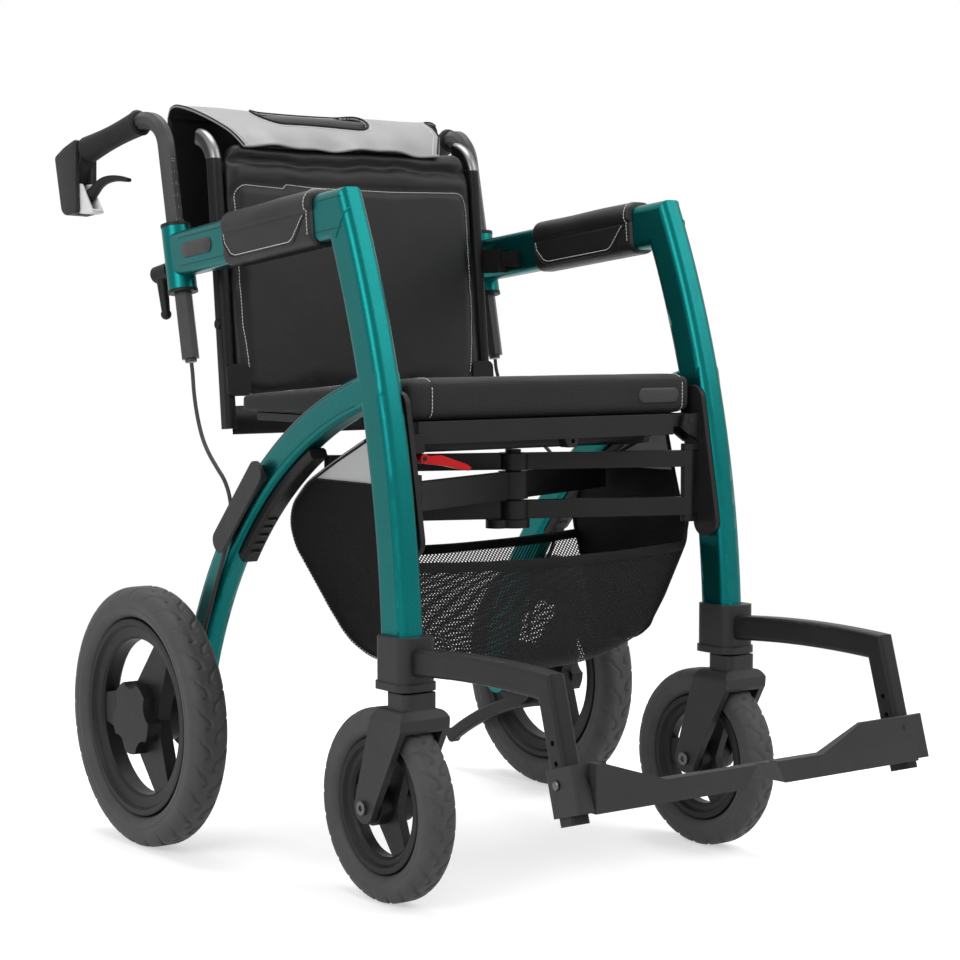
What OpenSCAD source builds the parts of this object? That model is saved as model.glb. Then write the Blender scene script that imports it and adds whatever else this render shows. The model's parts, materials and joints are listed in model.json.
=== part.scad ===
// Rollator transport chair. Millimetres, +Z up, the front faces -Y, the sitter's right is -X.

/* [Frame] */
// Thickness of the frame tubes across the chair
tube_t = 31; // [28:1:32]
// Width of the front leg seen from the side
leg_w = 45; // [40:1:48]
// Height of the armrest tube
arm_w = 53; // [48:1:56]
// Width of the curved rear leg seen from the side
rear_w = 38; // [34:1:42]
// Corner radius of the frame tubes
tube_r = 10; // [6:1:12]
// Radius of the curve of the front leg
leg_r = 1275; // [1200:5:1350]
// Height of the middle of the armrest tube at its front corner
arm_front_z = 730; // [720:1:742]

/* [Wheels] */
// Diameter of the rear wheels
rear_wheel_d = 305; // [290:1:315]
// Width of the rear tyres
rear_tyre_w = 48; // [40:1:52]
// Diameter of the front wheels
front_wheel_d = 208; // [195:1:215]
// Width of the front tyres
front_tyre_w = 39; // [34:1:42]
// Distance of the front axle behind the swivel axis
caster_trail = 40; // [34:1:46]

/* [Seat] */
// Height of the top of the cushion
seat_top_z = 556; // [550:1:566]
// Width of the cushion
seat_w = 407; // [398:1:408]
// Depth of the cushion from front to rear
seat_depth = 350; // [330:1:356]

/* [Brace] */
// Distance of the brace hinges inside the middle of the side frames
hinge_inset = 33; // [32:1:38]
// Distance of the centre post behind the hinges
post_back = 80; // [70:1:90]
// Height of the bar between the two others
brace_mid_h = 31; // [26:1:34]

/* [Handles] */
// Lean of the sleeve and the handle post in degrees
post_tilt = 12; // [10:0.5:13]
// Width of the eight-sided handle post across its flats
post_af = 20; // [18:0.5:21]
// Outer diameter of the sleeve
sleeve_d = 35; // [34:1:40]
// Length of the grip
grip_l = 114; // [106:1:120]
// Outward turn of the handle about the post in degrees
handle_splay = 8; // [4:1:10]

/* [Footrest] */
// Forward reach of the footrest elbow from the front leg
foot_reach = 216; // [208:1:224]
// Length of the footrest leg
foot_leg = 134; // [130:1:140]
// Width of the footrest tube across the chair
foot_tube_w = 21; // [19:1:23]
// Depth of the footplate from front to rear
plate_depth = 79; // [70:1:88]

/* [Back] */
// Height of the bend of the back uprights
back_bend_z = 800; // [790:1:804]
// Thickness of the back pad
back_pad_t = 24; // [20:1:28]

/* [Hidden] */

// Shared clearances
fit = 0.2;        // between pieces fixed to each other
run = 0.05;       // around shafts and pins that turn
slide = 0.4;      // between pieces that pass each other
rest = 0.3;       // under a piece that lies on another
round_fn = 72;
weld_lap = 0.3;   // degrees by which a bend reaches into the straight tubes
weld_step = 0.06; // by which a bend is thinner than the straight tubes

// Paint and material colours
paint = [0.07, 0.45, 0.44];
plastic = [0.2, 0.2, 0.21];
dark = [0.13, 0.13, 0.14];
rubber = [0.1, 0.1, 0.1];
steel = [0.7, 0.7, 0.72];
fabric = [0.15, 0.15, 0.16];

// Moves the chair so that its box is centred on the origin
front_edge_y = -549;
rear_edge_y = 452.1;
origin_y = -(front_edge_y + rear_edge_y) / 2;

// The seat sets the distance of the side frames, of the back and of the sleeves
seat_side_gap = 8;
side_x = seat_w / 2 + seat_side_gap + tube_t / 2;
seat_front_y = -216;
back_gap = 38;
back_low_y = seat_front_y + seat_depth + back_gap;
sleeve_y = back_low_y + 52.5;

// Front casters, from the floor up
front_axle_z = front_wheel_d / 2;
crown_z = front_wheel_d + 5;
crown_h = 14;
neck_h = 4;
block_z = crown_z + crown_h + neck_h + 1;
block_h = 56;
leg_foot_z = block_z + 30;
block_w = 46;
block_d = 54;
stem_d = 16;
stem_h = 24;
fork_blade_t = 8;
fork_gap = 4;

// Front leg: an arc that starts upright and leans back as it rises
leg_plumb_z = 223;
leg_plumb_y = -239.4;
function leg_lean(z) = asin((z - leg_plumb_z) / leg_r);
function leg_y(z) = leg_plumb_y + leg_r * (1 - cos(leg_lean(z)));
stem_y = -251;
front_axle_y = stem_y + caster_trail;
block_y = -244;

// Armrest line, sinking toward the rear
arm_slope = 5.8;
arm_front_y = leg_y(arm_front_z);
function arm_z(y) = arm_front_z - (y - arm_front_y) * tan(arm_slope);
sleeve_z = arm_z(sleeve_y) - 4;
sleeve_l = 76;
sleeve_bore = 27;
clamp_w = -10;

// Rear leg: one bend from the front leg down to the rear axle
rear_bend_r = 520;
rear_low = [189.44, 168.2];
rear_top = [-214.78, 548.45];
rear_chord = rear_low - rear_top;
rear_rise = sqrt(rear_bend_r * rear_bend_r - rear_chord * rear_chord / 4);
rear_centre = (rear_low + rear_top) / 2 - turned(rear_chord) / norm(rear_chord) * rear_rise;
rear_axle_z = rear_wheel_d / 2;
rear_axle_y = 177;
rear_boss_d = 46;
rear_top_angle = atan2(rear_top[1] - rear_centre[1], rear_top[0] - rear_centre[0]);
rear_low_angle = atan2(rear_low[1] - rear_centre[1], rear_low[0] - rear_centre[0]);
rear_wheel_x = side_x + 74;
axle_d = 12;
brake_plate_d = 84;
frame_out = side_x + tube_t / 2;
frame_in = side_x - tube_t / 2;

// Handle, in the frame of the sleeve
post_low = -122;
bend_r = 42;
bend_w = 138;
grip_drop = 2.5;
core_d = 18;
grip_start = [bend_r + bend_r * sin(grip_drop), bend_w + bend_r * cos(grip_drop)];
grip_end = grip_start + grip_l * [cos(grip_drop), -sin(grip_drop)];
housing_w = 34;
lever_w = 13;
lever_pivot = grip_end + [7, -50];
lever_arc_r = 46;
lever_arc = grip_end + [-44, -83];
lever_from = 42;
lever_to = 137;

// Brace of the fold, seen from above: hinges, centre and rear ends
hinge_x = side_x - hinge_inset;
hinge_y = -214;
centre_y = hinge_y + post_back;
brace_end_y = centre_y + post_back;
brace_angle = atan(post_back / hinge_x);
brace_half = sqrt(hinge_x * hinge_x + post_back * post_back);
brace_low_z = 391;
brace_low_h = 21;
brace_gap = 2;
brace_mid_z = brace_low_z + brace_low_h + brace_gap;
brace_top_z = brace_mid_z + brace_mid_h + brace_gap;
brace_top_h = 19;
brace_t = 12;
hinge_pin_d = 8;
knuckle_d = 16;
knuckle_lip = 0.15; // by which a hinge barrel stands out above and below its bars

// Hinge plates
hinge_plate_t = 6;
hinge_plate_w = 38;
hinge_plate_low = 366;
hinge_plate_high = 542;
hinge_face = frame_in - hinge_plate_t;

// Seat
seat_bar_h = 24;
seat_cushion_t = 47;
seat_bar_z = seat_top_z - seat_cushion_t - rest - seat_bar_h;
seat_pivot_x = side_x - 35;
seat_pivot_z = seat_bar_z + 16;
seat_base_t = 9;
seat_bar_d = 26;
seat_bar_right = 2 - seat_pivot_x;
seat_pin_d = 8;
seat_knuckle_d = 20;
latch_pivot = [-hinge_x + 10, seat_bar_z - 15];
latch_pin_d = 5;

// Footrest
foot_tilt = 16.2;
foot_arm_h = 28;
foot_leg_w = 25;
foot_arm_slope = -3.4;
foot_arm_r = 1460;
foot_root = [block_y - block_d / 2, block_z + 31];
elbow = [foot_root[0] - foot_reach, foot_root[1] + 2.5];
foot_block_top = -78;
foot_block_h = 47;
foot_block_wall = 3;
foot_block_front = 28;
button_s = -94;
hole_step = 20;
plate_front = front_edge_y;
plate_edge = side_x - 5;
plate_pin = [plate_edge - 17, 188];
plate_low = 151;
plate_band = 23;
plate_high = 199;
plate_lip = 10.5;
plate_body_x = plate_edge - 62;
plate_gap_top = 26;
plate_gap_low = 54;

// Back
back_x = side_x - 36;
back_low_z = 487;
back_lean = 5.5;
back_tube_w = 22;
back_tube_t = 14;
back_bend_r = 40;
function back_y(z) = back_low_y + (z - back_low_z) * tan(back_lean);

// Cable points on the right side, from the foot of the post to the brake plate
cable_d = 5;
cable_x = -(frame_out + 4.5);
cable_points = [
    [-side_x, 197.5, 565], [-side_x, 195, 552], [-side_x - 2, 189, 532], [-side_x - 5, 179, 512],
    [-side_x - 9, 165, 493], [-side_x - 14, 147, 476], [cable_x + 2, 127, 461], [cable_x, 107, 447],
    [cable_x, 89, 432], [cable_x, 78, 414], [cable_x, 75, 394], [cable_x, 80, 372], [cable_x, 90, 350],
    [cable_x, 101, 328], [cable_x, 112, 305], [cable_x, 124, 280], [cable_x, 136, 255],
    [cable_x, 147, 230], [cable_x - 2, 154, 212], [cable_x - 6, 157, 204]];

// Drawing helpers
module right() { translate([0, origin_y, 0]) children(); }
module left() { translate([0, origin_y, 0]) mirror([1, 0, 0]) children(); }

// Puts a drawing of (Y, Z) across the chair between two X values
module across(x0, x1) {
    translate([x0, 0, 0]) rotate([90, 0, 90]) linear_extrude(height = x1 - x0) children();
}

// Puts a drawing of (X, Z) along the chair between two Y values
module along(y0, y1) {
    translate([0, y1, 0]) rotate([90, 0, 0]) linear_extrude(height = y1 - y0) children();
}

module rounded_rect(w, h, r) {
    square([w - 2 * r, h], center = true);
    square([w, h - 2 * r], center = true);
    for (sx = [-1, 1], sy = [-1, 1])
        translate([sx * (w / 2 - r), sy * (h / 2 - r)]) circle(r = r, $fn = 48);
}

// Straight tube in a side frame: start (Y, Z), direction as a turn about X, length, width, thickness
module side_tube(start, turn, l, w, t, r) {
    translate([-side_x, start[0], start[1]]) rotate([turn, 0, 0])
        linear_extrude(height = l) rounded_rect(t, w, r);
}

// Cylinder along X between two X values at a point of the side plane
module x_pin(p, d, x0, x1) {
    translate([x0, p[0], p[1]]) rotate([0, 90, 0]) cylinder(d = d, h = x1 - x0, $fn = round_fn);
}

// Cylinder along Y between two Y values at a point of (X, Z)
module y_pin(p, d, y0, y1) {
    translate([p[0], y1, p[1]]) rotate([90, 0, 0]) cylinder(d = d, h = y1 - y0, $fn = round_fn);
}

// Crossing of two lines in the side plane
function meet(p, d, q, e) =
    p + d * (((q[0] - p[0]) * e[1] - (q[1] - p[1]) * e[0]) / (d[0] * e[1] - d[1] * e[0]));
function turned(d) = [-d[1], d[0]];

// Half of the side plane on one hand of the line from the inner to the outer mitre corner
module mitre_side(inner, outer, hand) {
    far = 700;
    d = (outer - inner) / norm(outer - inner);
    n = hand * turned(d);
    across(-side_x - 60, -side_x + 60)
        polygon([inner - far * d, inner + far * d, inner + far * d + far * n, inner - far * d + far * n]);
}

// Mitred corner between armrest and front leg
leg_top_z = arm_front_z + 5;
leg_dir = [sin(leg_lean(leg_top_z)), cos(leg_lean(leg_top_z))];
arm_dir = [-cos(arm_slope), sin(arm_slope)];
arm_mid = [sleeve_y, arm_z(sleeve_y)];
leg_mid = [leg_y(leg_top_z), leg_top_z];
arm_outer = meet(leg_mid + turned(leg_dir) * leg_w / 2, leg_dir,
                 arm_mid - turned(arm_dir) * arm_w / 2, arm_dir);
arm_inner = meet(leg_mid - turned(leg_dir) * leg_w / 2, leg_dir,
                 arm_mid + turned(arm_dir) * arm_w / 2, arm_dir);

module front_leg(extra) {
    low = leg_lean(leg_foot_z);
    high = leg_lean(800);
    translate([-side_x, leg_plumb_y + leg_r, leg_plumb_z]) rotate([90, 0, 90]) rotate([0, 0, 180 - high])
        rotate_extrude(angle = high - low, $fn = 360) translate([leg_r, 0])
            rounded_rect(leg_w + 2 * extra, tube_t + 2 * extra, tube_r + extra);
}

module armrest_tube(extra) {
    side_tube(arm_mid, 90 - arm_slope, 460, arm_w + 2 * extra, tube_t + 2 * extra, tube_r + extra);
}

module rear_leg() {
    translate([-side_x, rear_centre[0], rear_centre[1]]) rotate([90, 0, 90]) rotate([0, 0, rear_low_angle])
        rotate_extrude(angle = rear_top_angle - rear_low_angle, $fn = 180)
            translate([rear_bend_r, 0]) rounded_rect(rear_w, tube_t - weld_step, tube_r);
    x_pin([rear_axle_y, rear_axle_z], rear_boss_d, -frame_out, -frame_in);
}

module in_sleeve() {
    translate([-side_x, sleeve_y, sleeve_z]) rotate([-post_tilt, 0, 0])
        rotate([0, 0, handle_splay]) children();
}

module side_frame() {
    color(paint) difference() {
        union() {
            difference() {
                front_leg(0);
                mitre_side(arm_inner, arm_outer, -1);
            }
            difference() {
                armrest_tube(0);
                mitre_side(arm_inner, arm_outer, 1);
            }
            rear_leg();
            in_sleeve() cylinder(d = sleeve_d, h = sleeve_l, center = true, $fn = round_fn);
        }
        in_sleeve() cylinder(d = sleeve_bore, h = sleeve_l + 2, center = true, $fn = round_fn);
        in_sleeve() translate([0, 0, clamp_w]) rotate([-90, 0, 0]) cylinder(d = 8 + 2 * run, h = 40, $fn = 48);
        x_pin([rear_axle_y, rear_axle_z], axle_d + fit, -frame_out - 1, -frame_in + 1);
    }
}

module octagon(af, h) {
    rotate([0, 0, 22.5]) cylinder(d = af / cos(22.5), h = h, $fn = 8);
}

module sleeve_bushes() {
    flange_h = 4;
    color(dark) in_sleeve() for (end = [0, 1]) mirror([0, 0, end]) translate([0, 0, sleeve_l / 2])
        difference() {
            union() {
                cylinder(d = sleeve_d + 1, h = flange_h, $fn = round_fn);
                translate([0, 0, -16]) cylinder(d = sleeve_bore - fit, h = 17, $fn = round_fn);
            }
            translate([0, 0, -20]) octagon(post_af + 2 * slide, 40);
        }
}

module handle_post() {
    cap_h = 4;
    color(plastic) in_sleeve() {
        translate([0, 0, post_low]) octagon(post_af, bend_w - post_low);
        translate([0, bend_r, bend_w]) rotate([90, 0, 90]) rotate([0, 0, 90 - grip_drop])
            rotate_extrude(angle = 90 + grip_drop + weld_lap, $fn = 120)
                translate([bend_r, 0]) rotate(22.5) circle(d = (post_af - weld_step) / cos(22.5), $fn = 8);
        along_grip() translate([0, 0, -3]) cylinder(d = core_d, h = grip_l + 15, $fn = round_fn);
        translate([0, 0, post_low - cap_h]) cylinder(d = post_af - 6, h = cap_h + 1, $fn = 48);
    }
}

// Frame of the grip: +Z along it, away from the bend
module along_grip() {
    translate([0, grip_start[0], grip_start[1]]) rotate([-90 - grip_drop, 0, 0]) children();
}

module handle_grip() {
    end_r = 15.5;
    waist = 2.2;
    steps = 14;
    body = [for (i = [0 : steps]) let (s = i / steps)
        [end_r - waist * sin(180 * s) + 1.2 * s, 6 + (grip_l - 9) * s]];
    color(dark) in_sleeve() along_grip() rotate_extrude($fn = round_fn)
        polygon(concat([[core_d / 2 + fit, 0.5], [13.5, 0.5], [end_r + 0.8, 3]], body,
                       [[core_d / 2 + fit, grip_l - 3]]));
}

module brake_housing() {
    side = [[-1, 19], [12, 21], [27, 17], [36, 6], [39, -10], [36, -54], [31, -65], [19, -70], [3, -69],
            [0, -30], [-1, -18]];
    color(plastic) in_sleeve() difference() {
        across(-housing_w / 2, housing_w / 2) polygon([for (p = side) grip_end + p]);
        across(-lever_w / 2 - 2, lever_w / 2 + 2)
            polygon([for (p = [[-10, -30], [18, -36], [22, -62], [-10, -66]]) grip_end + p]);
        along_grip() cylinder(d = core_d + 2 * fit, h = grip_l + 12.5, $fn = round_fn);
        x_pin(lever_pivot, 6 + 2 * run, -13, 13);
    }
}

module brake_lever() {
    color(dark) in_sleeve() {
        translate([0, lever_arc[0], lever_arc[1]]) rotate([90, 0, 90]) rotate([0, 0, lever_from])
            rotate_extrude(angle = lever_to - lever_from, $fn = 120)
                translate([lever_arc_r, 0]) rounded_rect(9, lever_w, 4);
        translate([0, lever_arc[0], lever_arc[1]]) rotate([lever_to, 0, 0]) translate([0, lever_arc_r, 0])
            sphere(d = 10, $fn = 32);
        across(-lever_w / 2, lever_w / 2)
            polygon([for (p = [[-14, -45], [-12, -57], [5, -57], [14, -49], [9, -43]]) grip_end + p]);
        x_pin(lever_pivot, 6, -12.5, 12.5);
    }
}

module brake_guide() {
    cheek = 5;
    outer = lever_w + 2 * cheek + 4;
    color([0.9, 0.9, 0.9]) in_sleeve() difference() {
        across(-outer / 2, outer / 2)
            polygon([for (p = [[-0.7, -32], [-8, -34], [-17, -63], [-24, -56], [-29, -59], [-25, -75],
                               [2, -75], [2, -70.5], [-0.7, -69]]) grip_end + p]);
        across(-lever_w / 2 - 2, lever_w / 2 + 2)
            polygon([for (p = [[10, -20], [-50, -20], [-50, -66], [10, -66]]) grip_end + p]);
    }
}

module clamp_lever() {
    hub_from = sleeve_d / 2 + 1;
    hub_l = 28;
    arm_l = 50;
    color(dark) in_sleeve() translate([0, 0, clamp_w]) {
        rotate([-90, 0, 0]) translate([0, 0, 14]) cylinder(d = 8, h = 8, $fn = 48);
        rotate([-90, 0, 0]) translate([0, 0, hub_from]) cylinder(d = 21, h = hub_l, $fn = round_fn);
        translate([0, hub_from + 19, -arm_l]) cylinder(r1 = 5, r2 = 7.5, h = arm_l, $fn = 48);
        translate([0, hub_from + 19, -arm_l]) sphere(d = 13, $fn = 48);
    }
}

// A round cord through points, as a closed sweep of small rings
function cord_dir(p, i) = let (a = p[max(i - 1, 0)], b = p[min(i + 1, len(p) - 1)]) (b - a) / norm(b - a);
function cord_ring(p, i, r, n) = let (d = cord_dir(p, i), u = cross(d, [1, 0, 0]) / norm(cross(d, [1, 0, 0])),
    v = cross(d, u)) [for (k = [0 : n - 1]) p[i] + r * (cos(360 * k / n) * u + sin(360 * k / n) * v)];
module cord(p, d, n) {
    rings = len(p);
    points = [for (i = [0 : rings - 1]) each cord_ring(p, i, d / 2, n)];
    sides = [for (i = [0 : rings - 2], k = [0 : n - 1]) let (m = (k + 1) % n)
        [i * n + k, i * n + m, (i + 1) * n + m, (i + 1) * n + k]];
    start = [[for (k = [n - 1 : -1 : 0]) k]];
    stop = [[for (k = [0 : n - 1]) (rings - 1) * n + k]];
    polyhedron(points = points, faces = concat(start, sides, stop));
}

module brake_cable() {
    color(dark) cord(cable_points, cable_d, 8);
}

// Plate over the cable on the outer face of the rear leg, on two feet
module cable_cover() {
    plate_l = 140;
    plate_w = 27;
    plate_t = 4;
    rise = 8.5;
    color(plastic) translate([-frame_out, 50, 404]) rotate([-46, 0, 0]) {
        translate([-rise - plate_t, 0, 0]) rotate([0, 90, 0])
            linear_extrude(height = plate_t) rotate(90) rounded_rect(plate_l, plate_w, 12);
        translate([-rise - 0.5, -60, -9]) cube([rise + 0.5, 10, 18]);
        translate([-rise - 0.5, 50, 3]) cube([rise + 0.5, 10, 9]);
    }
}

// Dark rail that follows the underside of the rear leg
module rear_rail() {
    rail_h = 13;
    rail_gap = 0.2;
    rail_t = 22;
    from = 38;
    sweep = 23;
    r = rear_bend_r - rear_w / 2 - rail_gap - rail_h / 2;
    color(dark) {
        translate([-side_x + 3, rear_centre[0], rear_centre[1]]) rotate([90, 0, 90]) rotate([0, 0, from])
            rotate_extrude(angle = sweep, $fn = 180) translate([r, 0]) rounded_rect(rail_h, rail_t, 4);
        for (i = [0 : 4]) translate([-side_x + 3, rear_centre[0], rear_centre[1]])
            rotate([from + 2 + 1.6 * i, 0, 0]) translate([0, r - rail_h / 2, 0])
                rotate([0, 90, 0]) cylinder(d = 4, h = rail_t - 10, center = true, $fn = 32);
    }
}

// Vertical hinge barrel of one brace end
module hinge_barrel(z, h, d) {
    translate([-hinge_x, hinge_y, z]) cylinder(d = d, h = h, $fn = round_fn);
}

module hinge_plate_body() {
    mid = (hinge_plate_low + hinge_plate_high) / 2;
    l = hinge_plate_high - hinge_plate_low;
    translate([-frame_in, leg_y(mid), mid]) rotate([-leg_lean(mid), 0, 0]) rotate([90, 0, 90])
        linear_extrude(height = hinge_plate_t) rounded_rect(hinge_plate_w, l, 17);
}

// Ears above and below one brace end, with the pin between them
module hinge_ears(z0, z1) {
    ear_h = 7;
    for (z = [z0 - slide - ear_h, z1 + slide]) {
        hinge_barrel(z, ear_h, knuckle_d);
        translate([-hinge_face - 2, hinge_y - knuckle_d / 2, z])
            cube([hinge_face + 2 - hinge_x, knuckle_d, ear_h]);
    }
    hinge_barrel(z0 - slide - 1, z1 - z0 + 2 * slide + 2, hinge_pin_d);
}

module right_hinge_plate() {
    color(plastic) {
        hinge_plate_body();
        hinge_ears(brace_mid_z, brace_mid_z + brace_mid_h);
        // cradle under the end of the seat bar, with a lip in front of it
        translate([-hinge_face - 1, seat_front_y + 1, seat_bar_z - rest - 8]) cube([26, 21, 8]);
        translate([-hinge_face - 1, seat_front_y - 5, seat_bar_z - 9]) cube([20, 4.6, 20]);
        translate([-hinge_face - 1, seat_front_y - 4.9, seat_bar_z - 9]) cube([20, 8, 8]);
        // block behind the latch lever, with its pin
        along(seat_front_y + 12.6, seat_front_y + 22) translate([-hinge_face - 1, latch_pivot[1] - 7])
            square([hinge_face + 9 + latch_pivot[0], 14]);
        y_pin(latch_pivot, latch_pin_d, seat_front_y - 4, seat_front_y + 14);
    }
}

module left_hinge_plate() {
    cheek = 5;
    color(plastic) difference() {
        union() {
            hinge_plate_body();
            hinge_ears(brace_low_z, brace_top_z + brace_top_h);
            for (y = [seat_front_y - 1 - cheek, seat_front_y + 21])
                along(y, y + cheek)
                    polygon([[-hinge_face - 2, seat_pivot_z + 8], [-seat_pivot_x + 10, seat_pivot_z + 7],
                             [-seat_pivot_x + 13, seat_pivot_z - 7], [-hinge_face - 2, seat_pivot_z - 26]]);
        }
        y_pin([-seat_pivot_x, seat_pivot_z], seat_pin_d + 2 * run, seat_front_y - 20, seat_front_y + 40);
    }
}

module caster_block() {
    collar_h = 8;
    color(plastic) difference() {
        union() {
            translate([-side_x, block_y, block_z]) linear_extrude(height = block_h)
                rounded_rect(block_w, block_d, 12);
            translate([-side_x, block_y, block_z]) linear_extrude(height = collar_h)
                rounded_rect(block_w + 4, block_d + 4, 14);
        }
        front_leg(fit);
        translate([-side_x, stem_y, block_z - 1]) cylinder(d = stem_d + 2 * run, h = stem_h + 3, $fn = 64);
        foot_socket(fit);
    }
}

// Spigot of the footrest arm in the caster block
module foot_socket(extra) {
    depth = 8;
    translate([-side_x, foot_root[0] + depth, foot_root[1]]) rotate([90, 0, 0])
        translate([0, 0, -extra]) linear_extrude(height = depth + 4 + extra)
            rounded_rect(foot_tube_w - 7 + 2 * extra, foot_arm_h - 10 + 2 * extra, 4);
}

// Fork: a side outline across the wheel, hollowed for the tyre, under a neck and a stem
module caster_fork() {
    blade_in = front_tyre_w / 2 + fork_gap;
    half = blade_in + fork_blade_t;
    neck_y = stem_y - 4;
    color(dark) difference() {
        union() {
            translate([-side_x, stem_y, crown_z]) cylinder(d = stem_d, h = crown_h + neck_h + 1 + stem_h, $fn = 64);
            translate([-side_x, neck_y, crown_z - 1]) linear_extrude(height = crown_h + neck_h)
                rounded_rect(42, 38, 8);
            intersection() {
                fork_side(-side_x - half, -side_x + half);
                along(stem_y - 60, front_axle_y + 40) translate([-side_x, crown_z / 2])
                    rounded_rect(2 * half, crown_z, 12);
            }
        }
        on_axle(-side_x - blade_in, front_axle_y, front_axle_z)
            cylinder(r = front_wheel_d / 2 + fork_gap, h = 2 * blade_in, $fn = 180);
        x_pin([front_axle_y, front_axle_z], 8 + fit, -side_x - 60, -side_x + 60);
    }
}

module fork_side(x0, x1) {
    end_r = 17;
    across(x0, x1) {
        polygon([[stem_y - 23, crown_z], [stem_y - 29, crown_z - 9], [stem_y - 28, crown_z - 20],
                 [front_axle_y - end_r, front_axle_z - 3], [front_axle_y + end_r - 1, front_axle_z + 5],
                 [stem_y + 27, crown_z - 10], [stem_y + 20, crown_z]]);
        translate([front_axle_y, front_axle_z]) circle(r = end_r, $fn = 64);
    }
}

// A wheel drawn about its own axle, then laid along X
module on_axle(x, y, z) {
    translate([x, y, z]) rotate([0, 90, 0]) children();
}

module tyre(outer_r, inner_r, w) {
    rotate_extrude($fn = 180) translate([(outer_r + inner_r) / 2, 0])
        rounded_rect(outer_r - inner_r, w, min(w, outer_r - inner_r) * 0.42);
}

// Stepped ring with a dished face, hub and three broad spokes
module rim(outer_r, ring_w, dish, hub_d, hub_from, hub_to, spoke_root, spoke_tip, spoke_t) {
    lip = 7;
    step = 3;
    edge = 1;
    half = ring_w / 2;
    inner_r = outer_r - dish;
    face = [[outer_r, half - edge], [outer_r - edge, half], [outer_r - lip, half], [outer_r - lip - step, half - 4],
            [inner_r + step, spoke_t / 2 + step], [inner_r, spoke_t / 2]];
    rotate_extrude($fn = 180)
        polygon(concat(face, [for (i = [len(face) - 1 : -1 : 0]) [face[i][0], -face[i][1]]]));
    translate([0, 0, hub_from]) cylinder(d = hub_d, h = hub_to - hub_from, $fn = round_fn);
    translate([0, 0, edge - spoke_t / 2]) linear_extrude(height = spoke_t - 2 * edge)
        for (a = [90 : 120 : 330]) rotate(a)
            polygon([[0, -spoke_root / 2], [inner_r + 4, -spoke_tip / 2], [inner_r + 4, spoke_tip / 2],
                     [0, spoke_root / 2]]);
}

front_rim_r = front_wheel_d / 2 - 31;
rear_rim_r = rear_wheel_d / 2 - 37;

module front_tyre() {
    color(rubber) on_axle(-side_x, front_axle_y, front_axle_z)
        tyre(front_wheel_d / 2, front_rim_r + fit, front_tyre_w);
}

module front_rim() {
    color(plastic) on_axle(-side_x, front_axle_y, front_axle_z)
        difference() {
            rim(front_rim_r, 28, 18, 40, -front_tyre_w / 2 - 2, front_tyre_w / 2 + 2, 44, 24, 12);
            translate([0, 0, -front_tyre_w]) cylinder(d = 8 + 2 * run, h = 2 * front_tyre_w, $fn = 64);
        }
}

module front_axle() {
    reach = front_tyre_w / 2 + fork_gap + fork_blade_t;
    color(steel) {
        x_pin([front_axle_y, front_axle_z], 8, -side_x - reach - 1, -side_x + reach + 1);
        for (s = [-1, 1]) translate([-side_x + s * (reach + 0.05), front_axle_y, front_axle_z]) rotate([0, s * 90, 0])
            difference() {
                cylinder(d = 15, h = 4, $fn = 48);
                translate([0, 0, 2]) cylinder(d = 7, h = 4, $fn = 6);
            }
    }
}

module rear_tyre() {
    color(rubber) on_axle(-rear_wheel_x, rear_axle_y, rear_axle_z)
        tyre(rear_wheel_d / 2, rear_rim_r + fit, rear_tyre_w);
}

module rear_rim() {
    cap_d = 86;
    cap_t = 18;
    cap_lobes = 5;
    scallop_r = 21;
    axle_end = 18;
    color(plastic) on_axle(-rear_wheel_x, rear_axle_y, rear_axle_z) difference() {
        union() {
            rim(rear_rim_r, 36, 24, 62, 4 - rear_tyre_w / 2, rear_tyre_w / 2 + 6, 72, 32, 18);
            translate([0, 0, -rear_tyre_w / 2]) difference() {
                cylinder(d = cap_d, h = cap_t, $fn = 96);
                for (i = [0 : cap_lobes - 1]) rotate([0, 0, 360 / cap_lobes * (i + 0.5)])
                    translate([cap_d / 2 + scallop_r - 9, 0, -1]) cylinder(r = scallop_r, h = cap_t + 2, $fn = 64);
            }
        }
        translate([0, 0, -axle_end]) cylinder(d = axle_d + 2 * run, h = rear_tyre_w + 20, $fn = 64);
    }
}

module rear_axle() {
    plate_from = frame_out + 0.5;
    color(steel) {
        x_pin([rear_axle_y, rear_axle_z], axle_d, -rear_wheel_x - 15, -frame_in + 4);
        x_pin([rear_axle_y, rear_axle_z], brake_plate_d, -plate_from - 12, -plate_from);
        x_pin([rear_axle_y, rear_axle_z], 22, -frame_in + 0.1, -frame_in + 7);
    }
}

// Foot lever for tipping the chair, between the brake plate and the left rear wheel
module tip_lever() {
    lever_in = frame_out + 12.3;
    lever_t = 12;
    lever_h = 18;
    bow_r = 508;
    bow_centre = [rear_axle_y - 118, rear_axle_z - 533];
    bow_from = 57;
    bow_to = 81.5;
    color(dark) {
        x_pin([rear_axle_y, rear_axle_z], 70, -lever_in - lever_t + 1, -lever_in);
        translate([-lever_in - lever_t / 2, bow_centre[0], bow_centre[1]]) rotate([90, 0, 90]) {
            rotate([0, 0, bow_from]) rotate_extrude(angle = bow_to - bow_from, $fn = 180)
                translate([bow_r, 0]) rounded_rect(lever_h, lever_t, 4);
            rotate([0, 0, bow_from]) translate([bow_r, 0, 0])
                cylinder(d = lever_h + 2, h = lever_t - 2, center = true, $fn = 48);
        }
    }
}

module left_rear_axle() {
    rear_axle();
    tip_lever();
}

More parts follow.
